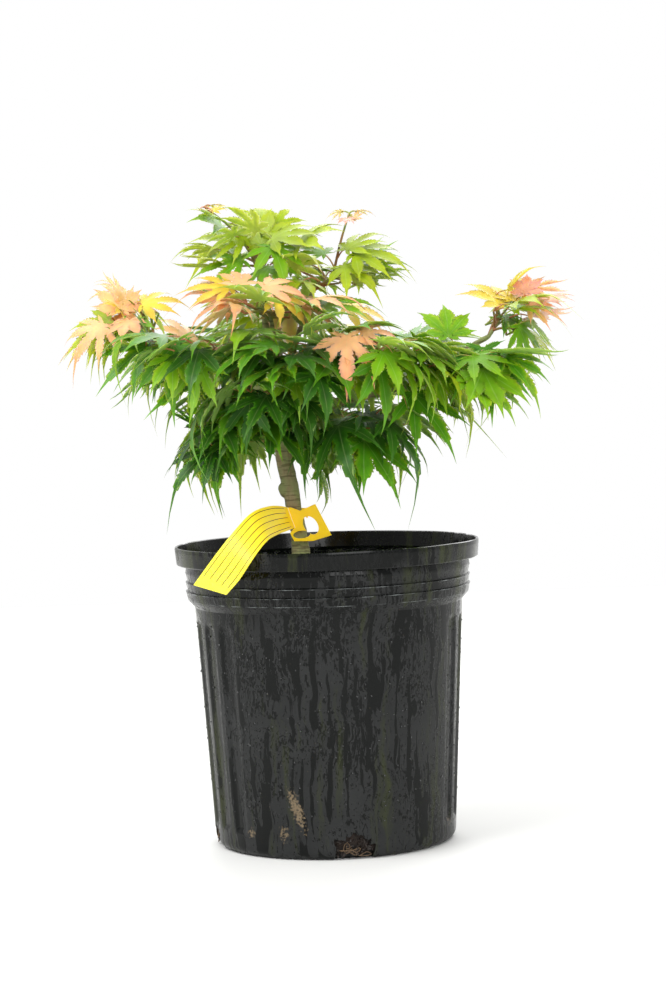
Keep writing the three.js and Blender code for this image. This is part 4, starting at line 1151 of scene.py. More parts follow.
# %% The blade's sizes, as shares of its middle lobe's length
LOBE_TURNS = (0, 37, 74, 114)
LOBE_SHARES = (1, 0.9, 0.66, 0.34)
SINUS_REACH = (0.3, 0.27, 0.2, 0.05)
BLADE_BACK = 150
LOBE_STATIONS = (0.0, 0.18, 0.36, 0.54, 0.7, 0.85, 1.0)
LOBE_WIDTHS = (0.0, 0.11, 0.13, 0.098, 0.036, 0.014, 0.0)
LOBE_SWAY = 0.12
UNEVEN = 0.16
TEETH = (1, 2, 2, 1, 0, 0)
TOOTH = 0.032
THREAD_START = 0.66
THREAD_HOOK = 6.4
DROOP = 0.6
FOLD_SLOPE = 0.3
RIB = 0.007
BREADTHS = (1, 1.12, 0.85, 1.05, 0.78, 1.15, 0.92, 1.45)
CURLS = (0.2, 0.4, 0.08, 0.3, 0.5, 0.16, -0.1, 0.15)
KIND_SEED = 400
print(len(BREADTHS), "kinds of leaf with", 2 * len(LOBE_TURNS) - 1, "lobes each")


# %% One blade
def blade(breadth, curl, random):
    """A unit leaf along +X from the origin: corners, faces of (corner, uv) pairs, rims and undersides."""
    corners, faces, under, rims = [], [], [], []

    def corner(x, y, rise=0.0):
        reach = math.hypot(x, y)
        hook = THREAD_HOOK * curl * max(0.0, reach - THREAD_START) ** 2
        corners.append((x, y, rise - DROOP * curl * reach * reach - hook))
        return len(corners) - 1

    def both_sides(upper, lower):
        faces.append(upper)
        faces.append(lower[::-1])
        under.extend((False, True))

    # The lobes' directions and lengths, and the bays between them.
    scatter = scatter_from(random)
    lobes = range(1 - len(LOBE_TURNS), len(LOBE_TURNS))
    turns = [math.copysign(LOBE_TURNS[abs(n)], n) + scatter(8) for n in lobes]
    shares = [LOBE_SHARES[abs(n)] * (1 + scatter(UNEVEN)) for n in lobes]
    reaches = [SINUS_REACH[abs(n)] for n in lobes]
    gaps = [-BLADE_BACK, *((a + b) / 2 for a, b in zip(turns, turns[1:])), BLADE_BACK]
    depths = [reaches[0], *((a + b) / 2 for a, b in zip(reaches, reaches[1:])), reaches[-1]]
    half_back = 180 - BLADE_BACK
    half_gaps = [half_back, *((b - a) / 2 for a, b in zip(turns, turns[1:])), half_back]
    sinuses = [corner(d * math.cos(math.radians(g)), d * math.sin(math.radians(g)),
                      FOLD_SLOPE * d * math.sin(math.radians(h)))
               for g, d, h in zip(gaps, depths, half_gaps)]
    middle, below = corner(0, 0, RIB), corner(0, 0, -RIB)
    for lobe, (turn, share) in enumerate(zip(turns, shares)):
        cos, sin = math.cos(math.radians(turn)), math.sin(math.radians(turn))
        sway = scatter(LOBE_SWAY) * share
        at = lambda along, beside: (along * cos - beside * sin, along * sin + beside * cos)
        places = [mix(reaches[lobe] * 0.9, share, station) for station in LOBE_STATIONS]
        bends = [sway * station * station for station in LOBE_STATIONS]
        tip = corner(*at(places[-1], bends[-1]))
        ribs = [(corner(*at(place, bend), RIB), corner(*at(place, bend), -RIB))
                for place, bend in zip(places[:-1], bends[:-1])]
        for hand in (-1, 1):
            # The edge from the bay to the tip, station by station, with its teeth.
            steps = [[sinuses[lobe] if hand < 0 else sinuses[lobe + 1]]]
            half_before = 0.5 * LOBE_WIDTHS[1]
            for n in range(1, len(LOBE_STATIONS)):
                half = LOBE_WIDTHS[n] * breadth * share * (1 + scatter(UNEVEN))
                row = []
                for tooth in range(TEETH[n - 1]):
                    for back, out in ((0.8, 1), (0.9, 0)):
                        part = (tooth + back) / (TEETH[n - 1] + 0.3)
                        wide = mix(half_before, half, part) + TOOTH * share * (out - 0.3)
                        row.append(corner(*at(mix(places[n - 1], places[n], part),
                                              mix(bends[n - 1], bends[n], part) + hand * wide),
                                          FOLD_SLOPE * wide))
                row.append(tip if n == len(LOBE_STATIONS) - 1 else
                           corner(*at(places[n], bends[n] + hand * half), FOLD_SLOPE * half))
                steps.append(row)
                half_before = half
            # The faces between the edge and the midrib, above and below.
            out = 0.5 + 0.45 * hand
            for n in range(len(steps) - 1):
                line = [steps[n][-1], *steps[n + 1]]
                low_v, high_v = LOBE_STATIONS[n], LOBE_STATIONS[n + 1]
                side = [(c, (out, mix(low_v, high_v, k / (len(line) - 1)))) for k, c in enumerate(line)]
                rims.extend(zip(line, line[1:]))
                for face_side in (0, 1):
                    inner = [(ribs[n][face_side], (0.5, low_v))]
                    if n + 1 < len(ribs):
                        inner.insert(0, (ribs[n + 1][face_side], (0.5, high_v)))
                    face = side + inner if hand < 0 else (side + inner)[::-1]
                    faces.append(face if face_side == 0 else face[::-1])
                    under.append(face_side == 1)
            centre = [(middle, (0.5, 0.0)), (steps[0][0], (out, 0.0)), (ribs[0][0], (0.5, 0.0))]
            beneath = [(below, (0.5, 0.0)), (steps[0][0], (out, 0.0)), (ribs[0][1], (0.5, 0.0))]
            both_sides(centre if hand < 0 else centre[::-1], beneath if hand < 0 else beneath[::-1])
    ends = [(sinuses[-1], (0.9, 0.0)), (sinuses[0], (0.1, 0.0))]
    both_sides([(middle, (0.5, 0.0)), *ends], [(below, (0.5, 0.0)), *ends])
    rims.append((sinuses[-1], sinuses[0]))
    return corners, faces, under, rims


# %% Leaf kinds
def leaf_mesh(corners, faces, under, rims, reaches):
    """A blade as a mesh, with its UV map, its rim sharp, and what the leaf tree and the finish read."""
    mesh = bpy.data.meshes.new("leaf_kind")
    mesh.from_pydata(corners, [], [[corner for corner, _ in face] for face in faces])
    mesh.attributes.new("reach", "FLOAT", "POINT").data.foreach_set("value", reaches)
    mesh.attributes.new("underside", "BOOLEAN", "FACE").data.foreach_set("value", under)
    mesh.uv_layers.new(name="UVMap").data.foreach_set(
        "uv", [value for face in faces for _, uv in face for value in uv])
    rim_pairs = {frozenset(pair) for pair in rims}
    for edge in mesh.edges:
        edge.use_edge_sharp = frozenset(edge.vertices) in rim_pairs
    mesh.polygons.foreach_set("use_smooth", [True] * len(mesh.polygons))
    return mesh


leaf_points, leaf_meshes = [], []
for kind, (breadth, curl) in enumerate(zip(BREADTHS, CURLS)):
    corners, faces, under, rims = blade(breadth, curl, seeded_random(KIND_SEED + kind))
    reaches = [min(1.0, math.hypot(x, y)) for x, y, _ in corners]
    leaf_meshes.append(leaf_mesh(corners, faces, under, rims, reaches))
    loops = [[corner for corner, _ in face] for face in faces]
    leaf_points.append((np.array(corners), loops, np.array(reaches)))
leaf_kinds = kinds_of("leaf_kinds", leaf_meshes)
closed = bmesh.new()
closed.from_mesh(leaf_meshes[0])
print("open edges of a leaf:", sum(not edge.is_manifold for edge in closed.edges),
      "volume:", round(closed.calc_volume(signed=True), 5))
closed.free()
print("a leaf has", len(leaf_points[0][1]), "faces")

# %% [markdown]
# ## Leaf colours
# Young leaves of this maple open peach and pink, turn yellow, then lime and green, and deepen with age. The
# deepest green, on the lower and inner masses, is partly painted shade.
# Colour has a place on the plant, so each spray of leaves takes one plain tint, and the finish adds what
# a leaf shows from near: paler veins along each lobe and a slow change towards its tips. A leaf is matt
# with a waxy sheen above and paler and duller below.

# %% Leaf finishes
# A living leaf has a waxy skin with a weak sheen over juicy tissue that lets light through, so it takes a
# little subsurface colour. Its underside has no wax: it is paler, duller and the same all over.
VEIN = "#c8d890"
VEIN_WIDTH = (0.012, 0.05)
MOTTLE = 9 * MM
TINTS = {
    # name: upper side, its tips, underside, record's slot
    # The deepest green: older leaves, darkened further as painted shade of the lower and inner crown.
    "deep": ("#1d480a", "#30620e", "#6e9040", "green_leaves"),
    "green": ("#397208", "#569010", "#8cac4a", "green_leaves"),
    "fresh": ("#5f920e", "#7ca416", "#9eb852", "light_leaves"),
    "lime": ("#88a00c", "#a4b01c", "#b0c052", "light_leaves"),
    "yellow": ("#d6bc34", "#e4a84c", "#e4d070", "young_leaves"),
    "peach": ("#f4b27c", "#ee946c", "#f2c096", "young_leaves"),
    "pink": ("#f09e8a", "#e87a74", "#f0b4a4", "young_leaves"),
}


# %% A leaf's skin
def leaf_material(name, body, tips, rough):
    """A leaf's side: paler veins, a slow change towards its tips, and a fine mottle."""
    material, tree, place = new_material(name)
    reach = add_node(tree, "ShaderNodeAttribute", attribute_name="reach")
    towards_tip = add_node(tree, "ShaderNodeMapRange", {
        "Value": reach.outputs["Fac"], "From Min": 0.3, "From Max": 1.0})
    blade = add_node(tree, "ShaderNodeMix", {
        "Factor": towards_tip, "A": linear(body), "B": linear(tips)}, data_type="RGBA")
    mottle = add_node(tree, "ShaderNodeTexNoise", {"Vector": place, "Scale": 1 / MOTTLE, "Detail": 3.0})
    shade = add_node(tree, "ShaderNodeMapRange", {
        "Value": mottle, "From Min": 0.25, "From Max": 0.75, "To Min": 0.78, "To Max": 1.2})
    uneven = add_node(tree, "ShaderNodeHueSaturation", {"Color": blade, "Value": shade})
    across = add_node(tree, "ShaderNodeSeparateXYZ", {0: add_node(tree, "ShaderNodeUVMap")})
    from_rib = add_node(tree, "ShaderNodeMath", {0: across.outputs["X"], 1: 0.5}, operation="SUBTRACT")
    from_rib = add_node(tree, "ShaderNodeMath", {0: from_rib}, operation="ABSOLUTE")
    rib = add_node(tree, "ShaderNodeMapRange", {
        "Value": from_rib, "From Min": VEIN_WIDTH[0], "From Max": VEIN_WIDTH[1],
        "To Min": 0.12, "To Max": 0.0})
    veined = add_node(tree, "ShaderNodeMix", {
        "Factor": rib, "A": uneven, "B": linear(VEIN)}, data_type="RGBA")
    relief = add_node(tree, "ShaderNodeBump", {"Height": mottle, "Strength": 0.3, "Distance": 0.5 * MM})
    end_material(tree, {
        "Base Color": veined, "Roughness": rough, "Normal": relief, "Specular IOR Level": 0.28,
        "Subsurface Weight": 0.45, "Subsurface Scale": 1.2 * MM, "Subsurface Radius": (1.0, 1.2, 0.3)})
    return material


leaf_finish = {
    tint: (leaf_material(f"{tint}_leaf_upper_side", body, tips, 0.42),
           leaf_material(f"{tint}_leaf_underside", under, under, 0.6))
    for tint, (body, tips, under, _) in TINTS.items()}
print(len(leaf_finish), "tints, each with an upper side and an underside")

# %% [markdown]
# ## Leaves by Geometry Nodes
# Each spray is a cloud of points that carry a leaf's kind, turn, size and sag. The tree puts a leaf at
# each point, makes the leaves real and lets them sag, more towards their tips, as a leaf's own weight
# bends it. Each side takes its material last.

# %% The leaf tree
SAG_POWER = 2.2

LEAVES, given = geometry_tree("leaves_on_petioles", {
    "Leaf Kinds": "Collection", "Sag Power": "Float", "Upper Side": "Material", "Underside": "Material"})
named = {name: add_node(LEAVES, "GeometryNodeInputNamedAttribute", {"Name": name}, data_type=kind)
         for name, kind in (("kind", "INT"), ("turned", "QUATERNION"), ("size", "FLOAT"),
                            ("sag", "FLOAT"), ("reach", "FLOAT"), ("underside", "BOOLEAN"))}
kinds = add_node(LEAVES, "GeometryNodeCollectionInfo", {
    "Collection": given["Leaf Kinds"], "Separate Children": True, "Reset Children": True})
placed = add_node(LEAVES, "GeometryNodeInstanceOnPoints", {
    "Points": given["Geometry"], "Instance": kinds, "Pick Instance": True,
    "Instance Index": named["kind"], "Rotation": named["turned"], "Scale": named["size"]})
real = add_node(LEAVES, "GeometryNodeRealizeInstances", {0: placed})
bent = add_node(LEAVES, "ShaderNodeMath", {0: named["reach"], 1: given["Sag Power"]}, operation="POWER")
sink = add_node(LEAVES, "ShaderNodeMath", {0: bent, 1: named["sag"]}, operation="MULTIPLY")
down = add_node(LEAVES, "ShaderNodeVectorMath", {0: (0.0, 0.0, -1.0), "Scale": sink}, operation="SCALE")
sagged = add_node(LEAVES, "GeometryNodeSetPosition", {0: real, "Offset": down})
above = add_node(LEAVES, "GeometryNodeSetMaterial", {0: sagged, "Material": given["Upper Side"]})
below = add_node(LEAVES, "GeometryNodeSetMaterial", {
    0: above, "Selection": named["underside"], "Material": given["Underside"]})
add_node(LEAVES, "NodeGroupOutput", {0: below})
print("the leaf tree has", len(LEAVES.nodes), "nodes")


def leaf_shape(leaf):
    """The corners of a placed leaf, in millimetres, as the leaf tree bends them."""
    points, faces, reaches = leaf_points[leaf["kind"]]
    placed = points @ np.array(leaf["axes"]).T * leaf["length"] + leaf["base"]
    placed[:, 2] -= leaf["sag"] * np.power(reaches, SAG_POWER)
    return placed, faces


# %% [markdown]
# ## Choosing what stays
# A crown is open: leaves keep out of each other's way and leave sky between the sprays. A leaf that would
# leave the crown's space or its outline as the camera sees it, or that would run into the trunk, the
# label, the pot or another leaf, is turned or made smaller, and left out if that doesn't help. A search
# tree over each leaf's faces tells what touches. Tips may cross a little, as they do on the plant.

# %% The crown's space and outline
BOX_MARGIN = 1.0
LOWEST_TIP = 167
# Thread tips may cross the outline, so only this share of a blade's reach has to lie inside.
OUTLINE_REACH = 0.8

# The crown's outline as traced, in millimetres right of the picture's middle and above it.
CROWN_OUTLINE = [
    (-154, 75), (-153, 86), (-143, 94), (-133, 100), (-132, 114), (-121, 124), (-108, 121), (-97, 116),
    (-85, 120), (-88, 132), (-78, 142), (-67, 147), (-78, 153), (-75, 162), (-49, 163), (-32, 164),
    (-4, 153), (3, 159), (15, 158), (33, 152), (34, 144), (42, 124), (23, 112), (26, 101),
    (41, 96), (42, 109), (70, 115), (65, 121), (94, 123), (115, 128), (137, 108), (133, 95),
    (117, 92), (125, 66), (113, 68), (110, 53), (102, 48), (89, 45), (80, 40), (67, 42),
    (67, 27), (48, 34), (52, 16), (45, 7), (40, -8), (26, 1), (23, -9), (6, -14), (-17, -8),
    (-18, 14), (-32, 16), (-34, 0), (-43, -1), (-52, 3), (-56, -4), (-63, 2), (-78, 4), (-97, -9), (-92, 18),
    (-80, 34), (-84, 45), (-115, 42), (-125, 56), (-134, 60), (-134, 77), (-141, 71), (-151, 66),
]

low = np.array(cad_low) / MM - BOX_MARGIN
high = np.array(cad_high) / MM + BOX_MARGIN


def as_seen(points):
    """Where the camera sees points: millimetres right of the picture's middle and above it."""
    away = points - np.array(CAMERA_PLACE)
    nearness = -CAMERA_PLACE[1] / (away @ np.array(forward))
    return away @ np.array(right) * nearness, away @ np.array(up) * nearness


def inside_outline(across, above):
    """Which places lie inside the crown's outline: those with an odd number of its edges to their right."""
    edges = np.zeros(len(across), int)
    for (x0, z0), (x1, z1) in zip(CROWN_OUTLINE, CROWN_OUTLINE[1:] + CROWN_OUTLINE[:1]):
        if z0 != z1:
            spans = (above < z0) != (above < z1)
            edges += spans & (across < x0 + (above - z0) * (x1 - x0) / (z1 - z0))
    return edges % 2 == 1


print("the crown's outline has", len(CROWN_OUTLINE), "points")

# %% Room for a leaf
CROSSINGS_ALLOWED = 26
TRIES = [
    # pitch and turn in degrees, size
    (0, 0, 1), (-14, 0, 1), (14, 0, 1), (0, 20, 1), (0, -20, 1), (-30, 0, 1), (25, 10, 0.9),
    (-25, -10, 0.9), (-45, 10, 0.9), (8, 36, 0.85), (8, -36, 0.85), (-30, 0, 0.75), (-10, 60, 0.8),
    (-10, -60, 0.8), (-55, 0, 0.7), (0, 0, 0.65),
]


def solid_tree(name):
    """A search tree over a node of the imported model, in millimetres."""
    mesh = frame["nodes"][name].data
    points = [corner.co / MM for corner in mesh.vertices]
    return BVHTree.FromPolygons(points, [tuple(face.vertices) for face in mesh.polygons])


kept_clear = [solid_tree(name) for name in ("trunk", "plant_label", "pot")]
taken = []


# %% Try a leaf
def fits(leaf):
    """The leaf's box and search tree if there is room for it, or None."""
    points, faces = leaf_shape(leaf)
    least, most = points.min(0), points.max(0)
    if (least < low).any() or (most > high).any() or least[2] < LOWEST_TIP:
        return None
    if not inside_outline(*as_seen(points[leaf_points[leaf["kind"]][2] < OUTLINE_REACH])).all():
        return None
    shape = BVHTree.FromPolygons([Vector(p) for p in points], faces)
    if any(shape.overlap(other) for other in kept_clear):
        return None
    for other_least, other_most, other in taken:
        if (least < other_most).all() and (other_least < most).all():
            if len(shape.overlap(other)) > CROSSINGS_ALLOWED:
                return None
    return least, most, shape


def settle(leaf):
    """Turns a leaf, and makes it smaller, until it fits. It returns whether it does."""
    axes, length = leaf["axes"], leaf["length"]
    for pitch_by, turn_by, size in TRIES:
        leaf["axes"] = (Matrix.Rotation(math.radians(turn_by), 3, "Z")
                        @ Matrix.Rotation(math.radians(pitch_by), 3, axes.col[1]) @ axes)
        leaf["length"] = length * size
        room = fits(leaf)
        if room:
            taken.append(room)
            return True
    return False


# %% Petioles and tints
PETIOLE_ARCH = 0.06
PETIOLE_RADII = (0.5, 0.32)
PETIOLE_STEPS = 4

sprays = {tint: [] for tint in TINTS}
twigs, petioles = [], []


def limb_line(path, first, last, steps):
    """A smooth line through a path's points, with radii that run from the first to the last."""
    return [(point, mix(first, last, n / steps)) for n, point in enumerate(curve_points(path, steps))]


def bear(leaf, tint, joint, length):
    """Adds a leaf to its spray, and its petiole, which arches from its joint on the twig by the length."""
    sprays[tint].append(leaf)
    arch = (joint + leaf["base"]) / 2 + np.array((0, 0, PETIOLE_ARCH * length))
    petioles.append(limb_line([joint, arch, leaf["base"]], *PETIOLE_RADII, PETIOLE_STEPS))


def tint_of(place, mass, number):
    for centre, reach, tint in COLOURED:
        if math.dist(place, centre) < reach:
            return tint
    return mass.tints[number % len(mass.tints)]


# %% [markdown]
# ## Leaves that stand out
# Some leaves catch the eye in the photograph, and a viewer looks for them, so they have places of their
# own: its petiole's end, a direction and a kind for each, read off the photograph. They are set first,
# and their petioles run to the nearest shoot.

# %% Leaves that stand out in the photograph
FEATURES = [
    # where the petiole ends, turn, hang, roll, length, kind, sag, tint
    ((-115, -18, 282), 204, 40, -45, 27, 4, 0.12, "peach"),
    ((-106, -16, 289), 96, -60, 0, 22, 7, 0.0, "peach"),
    ((-100, -24, 284), -110, 34, 0, 18, 7, 0.05, "peach"),
    ((-106, -18, 290), 176, -14, -40, 18, 3, 0.05, "yellow"),
    ((-94, -14, 292), 8, -16, 30, 27, 3, 0.1, "yellow"),
    ((-112, -10, 284), 190, 14, -40, 30, 2, 0.2, "lime"),
    ((-76, -42, 270), -98, 70, 0, 36, 0, 0.1, "green"),
    ((-30, -2, 322), 62, -62, 10, 27, 7, 0.0, "lime"),
    ((-24, -8, 325), 12, -14, 30, 30, 5, 0.12, "lime"),
    ((-38, -8, 325), 172, -2, -30, 28, 4, 0.2, "lime"),
    ((-40, -10, 314), 184, 4, -35, 30, 2, 0.2, "fresh"),
    ((-62, -4, 342), -120, 10, 0, 10, 5, 0.0, "pink"),
    ((-55, -4, 341), 20, -30, 20, 10, 3, 0.0, "yellow"),
    ((17, -2, 335), -100, 20, 0, 10, 5, 0.0, "pink"),
    ((20, -2, 334), 60, -50, 0, 9, 3, 0.0, "peach"),
    ((16, -6, 318), 24, -34, 15, 26, 3, 0.0, "lime"),
    ((20, -8, 316), -8, 0, 32, 33, 3, 0.15, "lime"),
    ((4, -8, 316), 150, -20, -20, 22, 5, 0.1, "fresh"),
    ((14, -12, 309), -40, 22, 20, 28, 0, 0.15, "lime"),
    ((-46, -38, 299), 176, -6, -30, 30, 2, 0.12, "yellow"),
    ((-40, -42, 300), 110, -34, 0, 20, 5, 0.0, "peach"),
    ((-28, -42, 298), 4, 0, 35, 26, 3, 0.08, "peach"),
    ((-22, -44, 293), -30, 30, 20, 24, 0, 0.1, "yellow"),
    ((14, -52, 271), -92, 58, 0, 30, 0, 0.1, "peach"),
    ((22, -50, 273), 4, -8, 35, 22, 4, 0.1, "peach"),
    ((68, -24, 270), 96, -58, 0, 24, 7, 0.0, "fresh"),
    ((98, -14, 286), 150, -36, -12, 27, 7, 0.0, "yellow"),
    ((103, -12, 288), 60, -40, 10, 20, 5, 0.0, "yellow"),
    ((110, -16, 291), 78, -56, 0, 16, 7, 0.0, "pink"),
    ((119, -18, 288), -30, -6, 18, 20, 5, 0.08, "pink"),
    ((112, -14, 285), -12, 18, 30, 22, 2, 0.2, "peach"),
    ((86, -30, 262), -84, 62, 0, 40, 2, 0.1, "green"),
    ((106, -16, 274), -20, 44, 35, 33, 4, 0.15, "fresh"),
    ((-3, 12, 199), -75, 80, 0, 30, 3, 0.0, "fresh"),
    ((20, -26, 219), -34, 52, 20, 41, 2, 0.12, "green"),
    ((48, -34, 240), -28, 50, 25, 40, 2, 0.12, "green"),
    ((-58, -20, 214), 206, 46, -35, 38, 4, 0.15, "deep"),
    ((-64, -26, 250), 200, 36, -40, 38, 2, 0.2, "green"),
    ((-92, -24, 270), 196, 30, -45, 34, 2, 0.2, "green"),
]


# %% Set them first
shoot_points = [mix(shoot["start"], shoot["end"], share)
                for shoots in grown.values() for shoot in shoots for share in (0.3, 0.65, 1.0)]
for base, turn, hang, roll, length, kind, sag, tint in FEATURES:
    leaf = place_leaf(base, turn, hang, roll, length)
    leaf.update(kind=kind, sag=sag * length)
    if settle(leaf):
        bear(leaf, tint, min(shoot_points, key=lambda point: math.dist(point, base)), length)
print(len(petioles), "leaves of the photograph placed")

# %% [markdown]
# ## The rest of the leaves
# The other leaves hang as the growing rule draws them, loosened a little: each is lifted, rolled and
# spread to the side, as leaves turn their faces to the light. Twigs that bear no leaf are left out.

# %% Second pairs, and how leaves are loosened
SECOND_PAIR_START = 12
SECOND_PAIR_PLACE = 0.55
SECOND_PAIR_SIZE = 0.78
AIRY_HANG = 20
LOOSE_PITCH = 26
LOOSE_ROLL = 54
LIFT = 22
SPREAD = 42
SAGS = (0.02, 0.26)
TWIG_RADII = (0.85, 0.55)
TWIG_STEPS = 5
BOW = 3
BOW_RISE = 0.05
LEAF_SEED = 1000


def pairs_of(shoot, mass, random, scatter):
    """A shoot's leaf pairs with their joints. Longer shoots bear a second pair where leaves hang down."""
    pairs = [(shoot["end"], shoot["leaves"])]
    way = shoot["end"] - shoot["start"]
    if np.linalg.norm(way) > SECOND_PAIR_START and mass.hang[0] > AIRY_HANG:
        middle = shoot["start"] + way * SECOND_PAIR_PLACE
        smaller = [size * SECOND_PAIR_SIZE for size in mass.leaf]
        hang = mix(*mass.hang, shoot["share"])
        pairs.append((middle, leaf_pair(middle, shoot["turn"] + 90, smaller, hang, random, scatter)))
    return pairs


def loosen(leaf, random, scatter):
    """Rolls a leaf, lifts it and spreads it to its side of the crown, and draws its kind and sag."""
    axes = leaf["axes"]
    roll_by = math.radians(scatter(LOOSE_ROLL))
    pitch_by = math.radians(scatter(LOOSE_PITCH) - LIFT)
    aside = math.copysign(max(0.0, -axes.col[0].y), leaf["base"][0] - CROWN_AXIS[0])
    leaf["axes"] = (Matrix.Rotation(math.radians(SPREAD * aside), 3, "Z")
                    @ Matrix.Rotation(roll_by, 3, axes.col[0])
                    @ Matrix.Rotation(pitch_by, 3, axes.col[1]) @ axes)
    leaf["kind"] = int(next(random) * len(BREADTHS))
    leaf["sag"] = leaf["length"] * mix(*SAGS, next(random))


def twig_line(shoot, scatter):
    """A twig, bowed a little upward and aside."""
    rise = BOW_RISE * np.linalg.norm(shoot["end"] - shoot["start"])
    bow = (shoot["start"] + shoot["end"]) / 2 + np.array((scatter(BOW), scatter(BOW), rise))
    return limb_line([shoot["start"], bow, shoot["end"]], *TWIG_RADII, TWIG_STEPS)


# %% Grow them, mass by mass
left_out = 0
for name, mass in MASSES.items():
    random = seeded_random(mass.seed + LEAF_SEED)
    scatter = scatter_from(random)
    for number, shoot in enumerate(grown[name]):
        borne = 0
        for joint, leaves in pairs_of(shoot, mass, random, scatter):
            for leaf in leaves:
                loosen(leaf, random, scatter)
                if settle(leaf):
                    borne += 1
                    bear(leaf, tint_of(leaf["base"], mass, number), joint, leaf["length"])
                else:
                    left_out += 1
        if borne:
            twigs.append(twig_line(shoot, scatter))
print("leaves:", {tint: len(leaves) for tint, leaves in sprays.items()}, "left out:", left_out)

# %% Make the leaf pieces
def leaf_places(tint, leaves):
    """A cloud of points that carry what the leaf tree reads."""
    source = mesh_object(f"{tint}_leaf_places", [leaf["base"] for leaf in leaves], [])
    for name, kind, values in (
            ("kind", "INT", [leaf["kind"] for leaf in leaves]),
            ("turned", "QUATERNION", [value for leaf in leaves for value in leaf["axes"].to_quaternion()]),
            ("size", "FLOAT", [leaf["length"] * MM for leaf in leaves]),
            ("sag", "FLOAT", [leaf["sag"] * MM for leaf in leaves])):
        source.data.attributes.new(name, kind, "POINT").data.foreach_set("value", values)
    return source


for tint, leaves in sprays.items():
    source = leaf_places(tint, leaves)
    upper, underside = leaf_finish[tint]
    node_modifier(source, LEAVES, {
        "Leaf Kinds": leaf_kinds, "Sag Power": SAG_POWER, "Upper Side": upper, "Underside": underside})
    finish_piece(evaluated_mesh(source, f"{tint}_leaves"), TINTS[tint][3])
discard(leaf_kinds)

# %% [markdown]
# ## Young wood
# This year's twigs are smooth and green, flushed red where the sun reaches them, and petioles are thin,
# stiff and redder still. Both are tubes of a few sides.

# %% Twigs and petioles
# A thin smooth skin with a soft sheen, in patches that the sun has flushed and patches that it hasn't.
young_wood = mottled("young_maple_wood", "#6f8a34", "#9a6040", grain=14, rough=0.5, detail=2.0,
                     spread=(0.4, 0.6))
finish_piece(tubes_along("twigs", twigs, 6, young_wood), "bark", *MASSES)
petiole_skin = mottled("maple_petiole", "#8fa040", "#c07850", grain=14, rough=0.45, detail=2.0,
                       spread=(0.4, 0.6))
finish_piece(tubes_along("petioles", petioles, 5, petiole_skin), "light_leaves")

# %% [markdown]
# ## Trunk and boughs
# Trunk, boughs and the stems of the masses are tubes along the source's own paths, so the wood lies where
# the solids have it. Wood grows into wood without a seam: a voxel remesh makes one skin of the tubes, a
# smooth modifier eases the joints, and a last tree presses the bark's relief into the mesh.

# %% Limbs as tubes
TRUNK_STEPS = 40
BOUGH_STEPS = 16
STEM_STEPS = 10
STEM_RADII = (1.6, 0.8)
LIMB_SIDES = 14

heights = [point[2] for point in TRUNK_PATH]
limb_lines = [[(point, float(np.interp(point[2], heights, TRUNK_RADII)))
               for point in curve_points(TRUNK_PATH, TRUNK_STEPS)]]
limb_lines += [limb_line(path, first, last, BOUGH_STEPS) for path, first, last in BOUGHS.values()]
for mass, stem in zip(MASSES.values(), stems):
    first = BOUGHS[mass.start][2] if isinstance(mass.start, str) else STEM_RADII[0]
    limb_lines.append(limb_line(stem, first, STEM_RADII[1], STEM_STEPS))
limbs = tubes_along("limbs", limb_lines, LIMB_SIDES, bark)
callus = bmesh.new()
callus.from_mesh(limbs.data)
bmesh.ops.create_icosphere(callus, subdivisions=3, radius=1.0, matrix=(
    Matrix.Translation(Vector(CALLUS_CENTRE) * MM) @ Matrix.Diagonal((*(v * MM for v in CALLUS_SIZE), 1))))
callus.to_mesh(limbs.data)
callus.free()
print("limbs before fusing:", len(limbs.data.polygons), "faces")

# %% The bark's relief
RELIEF, given = geometry_tree("bark_relief", {"Relief": "Float", "Grain": "Float", "Material": "Material"})
stretched = add_node(RELIEF, "ShaderNodeVectorMath", {
    0: add_node(RELIEF, "GeometryNodeInputPosition"), 1: (1.0, 1.0, 0.4)}, operation="MULTIPLY")
coarse = add_node(RELIEF, "ShaderNodeTexNoise", {
    "Vector": stretched, "Scale": given["Grain"], "Detail": 3.0})
centred = add_node(RELIEF, "ShaderNodeMath", {0: coarse, 1: 0.5}, operation="SUBTRACT")
lift = add_node(RELIEF, "ShaderNodeMath", {0: centred, 1: given["Relief"]}, operation="MULTIPLY")
outward = add_node(RELIEF, "ShaderNodeVectorMath", {
    0: add_node(RELIEF, "GeometryNodeInputNormal"), "Scale": lift}, operation="SCALE")
pressed = add_node(RELIEF, "GeometryNodeSetPosition", {0: given["Geometry"], "Offset": outward})
smooth = add_node(RELIEF, "GeometryNodeSetShadeSmooth", {0: pressed})
end_tree(RELIEF, smooth, given["Material"])
print("the relief tree has", len(RELIEF.nodes), "nodes")

# %% Fuse the limbs and press the bark in
BARK_VOXEL = 0.45
JOINT_EASE = 0.5
EASE_PASSES = 4
BARK_RELIEF = 1.3
BARK_GRAIN = 2.2

fuse = limbs.modifiers.new("fuse", "REMESH")
fuse.mode = "VOXEL"
fuse.voxel_size = BARK_VOXEL * MM
ease = limbs.modifiers.new("ease", "SMOOTH")
ease.factor = JOINT_EASE
ease.iterations = EASE_PASSES
node_modifier(limbs, RELIEF, {
    "Relief": BARK_RELIEF * MM, "Grain": 1 / (BARK_GRAIN * MM), "Material": bark})
finish_piece(evaluated_mesh(limbs, "trunk_and_boughs"), "bark", "trunk", *BOUGHS)

# %% [markdown]
# ## The loop label
# A strip of yellow plastic, whose pierced head is looped round the trunk: it bridges the rim and hangs
# over the outside of the pot, bent where it crosses the edge. Plain ruled lines on it are for writing on.

# %% Ruled lines
RULED_LINES = 5.0
FIELD = (0.1, 0.95)

